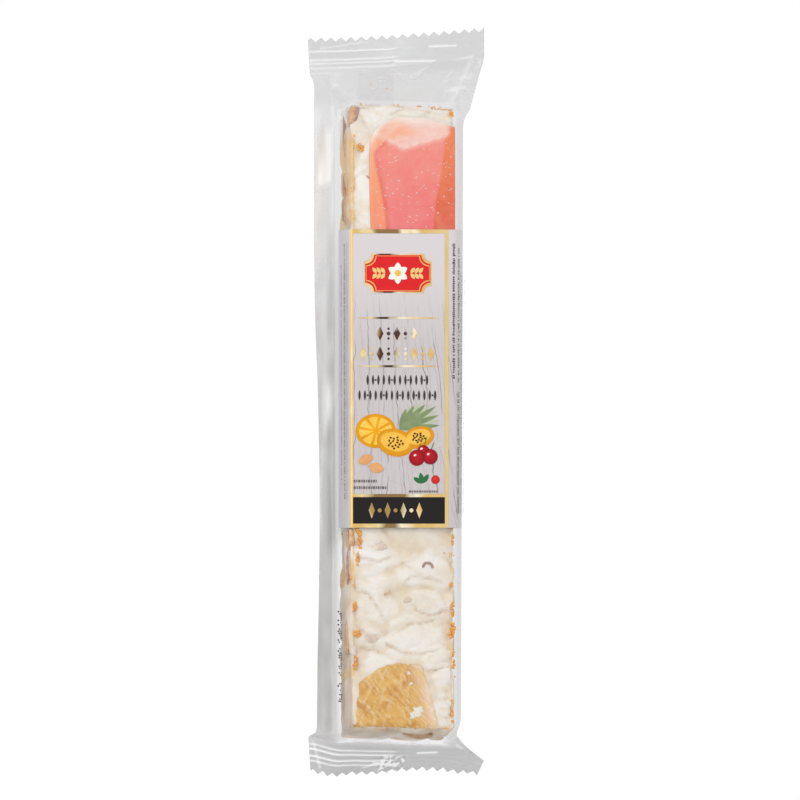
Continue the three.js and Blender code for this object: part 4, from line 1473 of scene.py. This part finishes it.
def citrus_wheel(skins, flesh, s, t, radius, segments=8, squash=0.84):
    """A round slice: a rind with eight segments."""
    skins.oval(s, t, radius, radius * squash, 0, 36, shade=0.4)
    inner, outer, spread = radius * 0.14, radius * 0.82, math.radians(17)
    for index in range(segments):
        angle = math.radians(index * 360 / segments + 10)
        points = [(s + inner * math.cos(angle), t + inner * math.sin(angle) * squash)]
        for part in range(5):
            turn = angle + spread * (part / 2 - 1)
            points.append((s + outer * math.cos(turn), t + outer * math.sin(turn) * squash))
        flesh.polygon(points)


# Greeked lines: s, t where each starts and ends, half width.
SIDE_RUNS = [
    (BAND_WIDTH + 1.5, 41.0, 78.0, 0.36), (BAND_WIDTH + 3.3, 40.0, 77.0, 0.3),
    (BAND_WIDTH + 2.9, 4.0, 37.5, 0.3), (BAND_WIDTH + 5.2, 4.0, 74.0, 0.25),
    (BAND_WIDTH + 7.4, 4.0, 70.0, 0.25), (-1.9, 8.0, 78.0, 0.46), (-4.2, 12.0, 72.0, 0.24),
]


def side_lines():
    """Fine greeked lines that run lengthwise down the side strips, and rows of coding dots."""
    draw = random.Random(19)
    strips = Shapes()
    for s, start, end, half_width in SIDE_RUNS:
        t = start
        while t < end:
            length = draw.uniform(0.22, 0.6)
            wide = half_width * draw.uniform(0.55, 1.0)
            strips.box(s + draw.uniform(-0.08, 0.08), t + length / 2, wide, length / 2)
            t += length + (0.55 if draw.random() < 0.18 else 0.16)
    strips.lay("side_lines", ink_paint("side_ink", linear(98, 92, 100)), 2.5)
    dots = Shapes()
    for column in (-6.9, -8.3):
        for index in range(42):
            if draw.random() < 0.6:
                across = column + draw.choice((-0.45, 0.0, 0.45))
                dots.box(across, -23.0 - index * 0.6, 0.42, 0.21)
    dots.lay("coding_dots", ink_paint("dot_ink", linear(44, 42, 48)), 1.5)


# The film.

FACE_MILK, WALL_MILK, BULGE_MILK = 0.04, 0.08, 0.26
# The milk grows towards the bar's lower end, which paints shade on the film there.
EAR_MILK, EAR_MILK_SHADED_LOW, SLACK_MILK, SLACK_MILK_SHADED_LOW = 0.2, 0.74, 0.36, 0.64


def film_veil(point, front):
    """Milk, gleam and painted shade of the film: clear where it lies on the bar, milky where it is slack."""
    half = sizes().bar_width / 2
    out = abs(point.x)
    aside = smooth(half - 0.4, half + 0.6, out)
    from_top, from_bottom = FILM_TOP - point.y, point.y - FILM_BOTTOM
    on_end = smooth(-2.8, -0.6, from_bottom) * smooth(-0.6, 0, from_top)
    on_side = smooth(-3, 6, from_bottom) * smooth(-3, 8, from_top)
    on_bar = blend(on_end, on_side, aside)
    beside = smooth(half + 0.9, half + 2.4, -point.x)
    near_bar = on_bar * (1 - smooth(half + 2.0, half + 4.2, -point.x))
    corner = smooth(-11, -8, from_top) * smooth(0, -0.6, from_top) * smooth(-8, -12, point.x)
    calm = smooth(0.2, -0.3, wobble((0, point.y, 0), 9, 71.0))
    fold_line = smooth(-20.5, -19.0, point.x) * smooth(-15.5, -16.5, point.x) * calm
    on_face = on_end * smooth(half + 0.1, half - 0.5, out) * (1.0 if front else 0.0)
    # More milk towards the lower end: painted shade that darkens the film there.
    down = smooth(70, -80, point.y)
    crimped = smooth(9, 12.5, -from_top) + smooth(1.5, 3.5, -from_bottom)
    slack_milk = blend(SLACK_MILK, SLACK_MILK_SHADED_LOW, down) * blend(0.74, 1.0, crimped)
    wall_milk = blend(WALL_MILK, BULGE_MILK, smooth(half, half + 0.8, point.x))
    milk = blend(blend(slack_milk, wall_milk, on_bar), blend(EAR_MILK, EAR_MILK_SHADED_LOW, down), beside * on_side)
    gleam = blend(1.0, 0.2, near_bar) * (1 - 0.7 * max(corner, fold_line))
    # Painted shade in the fold between the slack film at the left and the bar's wall, fading out below the
    # band.
    hollow_shade = smooth(-19.4, -18.2, point.x) * smooth(-15.2, -16.0, point.x) * on_side
    hollow_shade *= smooth(-46, -36, point.y) * blend(0.45, 0.9, smooth(60, 20, point.y))
    return blend(max(milk, 0.5 * hollow_shade), FACE_MILK, on_face), gleam, 1 - hollow_shade


def film_piece():
    """The clear wrap: front and back films that meet in the side folds and the crimps."""
    rows = sum(FILM_ROWS.values())
    bm = bmesh.new()
    veil = bm.verts.layers.float_color.new("veil")
    for front in (True, False):
        painted_highlights = []

        def spot(u, v, front=front, painted_highlights=painted_highlights):
            painted_highlights.append(film_painted_highlight(u, round(v * rows)))
            return film_point(u, front, round(v * rows))

        # Each corner also gets its painted highlight, kept as crest in the veil.
        for vert, crest in zip(mapped_grid(bm, FILM_COLUMNS, rows, spot), painted_highlights):
            milk, gleam, shade = film_veil(vert.co, front)
            vert[veil] = (milk, gleam, crest, shade)
    piece = finish_piece("clear_film", bm, [film_paint("film", 0.12)], "film", merge=2e-4)
    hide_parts(PACK)
    return piece


def fin_piece():
    """The lengthwise seal, folded flat along the back and on to the sloping film at both ends."""
    rows = sum(FILM_ROWS.values())
    low = FILM_ROWS["bottom_seal"] + 2
    high = rows - FILM_ROWS["top_seal"] - 2
    bm = bmesh.new()
    veil = bm.verts.layers.float_color.new("veil")

    def spot(u, v):
        share = blend(FIN_FIRST, FIN_LAST, u) / FIN_SHARES
        row = round(blend(low, high, v))
        point = film_point(share, False, row)
        rib = 0.02 * math.sin(point.y * 2 * math.pi / 1.6) * smooth(0.05, 0.2, u) * smooth(0.95, 0.8, u)
        return point + Vector((0, 0, rib - 0.07))

    mapped_grid(bm, 12, high - low, spot)
    for vert in bm.verts:
        on_bar = smooth(FILM_BOTTOM, FILM_BOTTOM + 4, vert.co.y) * smooth(FILM_TOP, FILM_TOP - 4, vert.co.y)
        vert[veil] = (0.06 * on_bar, blend(0.06, 0.5, on_bar), 0.0, 1.0)
    bmesh.ops.solidify(bm, geom=bm.faces[:], thickness=0.05)
    return finish_piece("back_fin", bm, [film_paint("film_fin", 0.2)], "film", merge=1e-5)


# The stage: where the camera stands, and the light.

CAMERA_FAR, SENSOR, VIEW_WIDTH = 8000.0, 36.0, 217.8
LOOK_LEFT, LOOK_LOW = math.radians(11.7), math.radians(9.0)
LOOK_AT = Vector((0.96, -0.3, 8.0))


def aim(thing, back, up=Vector((0, 1, 0))):
    """Turns a camera or light so that it looks along minus back."""
    back = back.normalized()
    upward = (up - back * up.dot(back)).normalized()
    right = upward.cross(back)
    thing.rotation_euler = Matrix((right, upward, back)).transposed().to_euler()


def stage_camera():
    data = bpy.data.cameras.new("camera")
    data.sensor_width = SENSOR
    data.lens = SENSOR * CAMERA_FAR / VIEW_WIDTH
    data.clip_end = 20
    camera = bpy.data.objects.new("camera", data)
    bpy.context.scene.collection.objects.link(camera)
    back = Vector((-math.sin(LOOK_LEFT) * math.cos(LOOK_LOW), -math.cos(LOOK_LEFT) * math.sin(LOOK_LOW),
                   math.cos(LOOK_LEFT) * math.cos(LOOK_LOW)))
    camera.location = (LOOK_AT + back.normalized() * CAMERA_FAR) * MM
    aim(camera, back)
    bpy.context.scene.camera = camera


def stage_floor():
    bm = bmesh.new()
    bmesh.ops.create_grid(bm, x_segments=8, y_segments=8, size=3.0)
    bmesh.ops.translate(bm, vec=(0, 0, -0.0002), verts=bm.verts)
    mesh = bpy.data.meshes.new("floor")
    bm.to_mesh(mesh)
    bm.free()
    paint, tree = new_paint("floor_white")
    glow = add(tree, "ShaderNodeEmission", {"Color": (1.0, 1.0, 1.0, 1.0), "Strength": 1.02})
    add(tree, "ShaderNodeOutputMaterial", {"Surface": glow.outputs[0]})
    mesh.materials.append(paint)
    floor = bpy.data.objects.new("floor", mesh)
    bpy.context.scene.collection.objects.link(floor)


def softbox(name, place_at, target, width, height, power):
    data = bpy.data.lights.new(name, "AREA")
    data.shape = "RECTANGLE"
    data.size, data.size_y, data.energy = width, height, power
    light = bpy.data.objects.new(name, data)
    bpy.context.scene.collection.objects.link(light)
    light.location = place_at
    aim(light, Vector(place_at) - Vector(target))


def stage_light():
    softbox("left_box", (-0.62, 0.25, 0.9), (0, 0, 0), 0.35, 1.0, 4.6)
    softbox("right_box", (0.8, -0.2, 0.85), (0, 0, 0), 0.4, 1.0, 1.6)
    softbox("top_strip", (0.2, 0.75, 0.75), (0, 0, 0), 0.9, 0.06, 1.0)
    softbox("near_strip", (-0.14, 0.19, 1.0), (0, 0, 0), 0.06, 0.34, 0.25)
    world = bpy.data.worlds.new("studio")
    world.use_nodes = True
    sky = world.node_tree.nodes["Background"]
    sky.inputs["Color"].default_value = (1.0, 1.0, 1.0, 1.0)
    sky.inputs["Strength"].default_value = 0.66
    bpy.context.scene.world = world
    bpy.context.scene.view_settings.view_transform = "Standard"


class NOUGAT_OT_bar(bpy.types.Operator):
    """Make the folded block of nougat"""
    bl_idname = "nougat.bar"
    bl_label = "Nougat block"

    def execute(self, context):
        bar_piece()
        return {"FINISHED"}


class NOUGAT_OT_fruit(bpy.types.Operator):
    """Set the candied fruit into the block, with its sugar"""
    bl_idname = "nougat.fruit"
    bl_label = "Candied fruit"

    def execute(self, context):
        pink_fruit_piece()
        amber_fruit_piece()
        sugar_piece()
        return {"FINISHED"}


class NOUGAT_OT_nuts(bpy.types.Operator):
    """Set the nuts and their skins into the block"""
    bl_idname = "nougat.nuts"
    bl_label = "Nuts"

    def execute(self, context):
        nut_pieces()
        return {"FINISHED"}


class NOUGAT_OT_crumbs(bpy.types.Operator):
    """Scatter the orange crumbs"""
    bl_idname = "nougat.crumbs"
    bl_label = "Crumbs"

    def execute(self, context):
        crumb_piece()
        return {"FINISHED"}


class NOUGAT_OT_band(bpy.types.Operator):
    """Print the band: ground, frame, emblem, ornaments, fruit and side lines"""
    bl_idname = "nougat.band"
    bl_label = "Printed band"

    def execute(self, context):
        band_ground()
        band_frame()
        emblem()
        ornaments()
        printed_fruit()
        side_lines()
        return {"FINISHED"}


class NOUGAT_OT_film(bpy.types.Operator):
    """Wrap the bar in its clear film"""
    bl_idname = "nougat.film"
    bl_label = "Clear film"

    def execute(self, context):
        film_piece()
        fin_piece()
        return {"FINISHED"}


class NOUGAT_OT_stage(bpy.types.Operator):
    """Set up the floor, camera and soft light"""
    bl_idname = "nougat.stage"
    bl_label = "Stage"

    def execute(self, context):
        stage_camera()
        stage_floor()
        stage_light()
        return {"FINISHED"}


STEPS = (NOUGAT_OT_stage, NOUGAT_OT_bar, NOUGAT_OT_fruit, NOUGAT_OT_nuts, NOUGAT_OT_crumbs, NOUGAT_OT_film,
         NOUGAT_OT_band)


class NOUGAT_PT_panel(bpy.types.Panel):
    """The buttons that build the wrapped bar"""
    bl_label = "Nougat bar"
    bl_idname = "NOUGAT_PT_panel"
    bl_space_type = "VIEW_3D"
    bl_region_type = "UI"
    bl_category = "Nougat"

    def draw(self, context):
        for group in (context.scene.nougat_sizes, context.scene.nougat_colours):
            for name in group.__annotations__:
                self.layout.prop(group, name)
        for step in STEPS:
            self.layout.operator(step.bl_idname)


CLASSES = (NougatSizes, NougatColours, *STEPS, NOUGAT_PT_panel)


def register():
    for item in CLASSES:
        bpy.utils.register_class(item)
    bpy.types.Scene.nougat_sizes = PointerProperty(type=NougatSizes)
    bpy.types.Scene.nougat_colours = PointerProperty(type=NougatColours)


def unregister():
    del bpy.types.Scene.nougat_colours
    del bpy.types.Scene.nougat_sizes
    for item in reversed(CLASSES):
        bpy.utils.unregister_class(item)


def main():
    register()
    for step in STEPS:
        group, name = step.bl_idname.split(".")
        getattr(getattr(bpy.ops, group), name)()


if __name__ == "__main__":
    main()
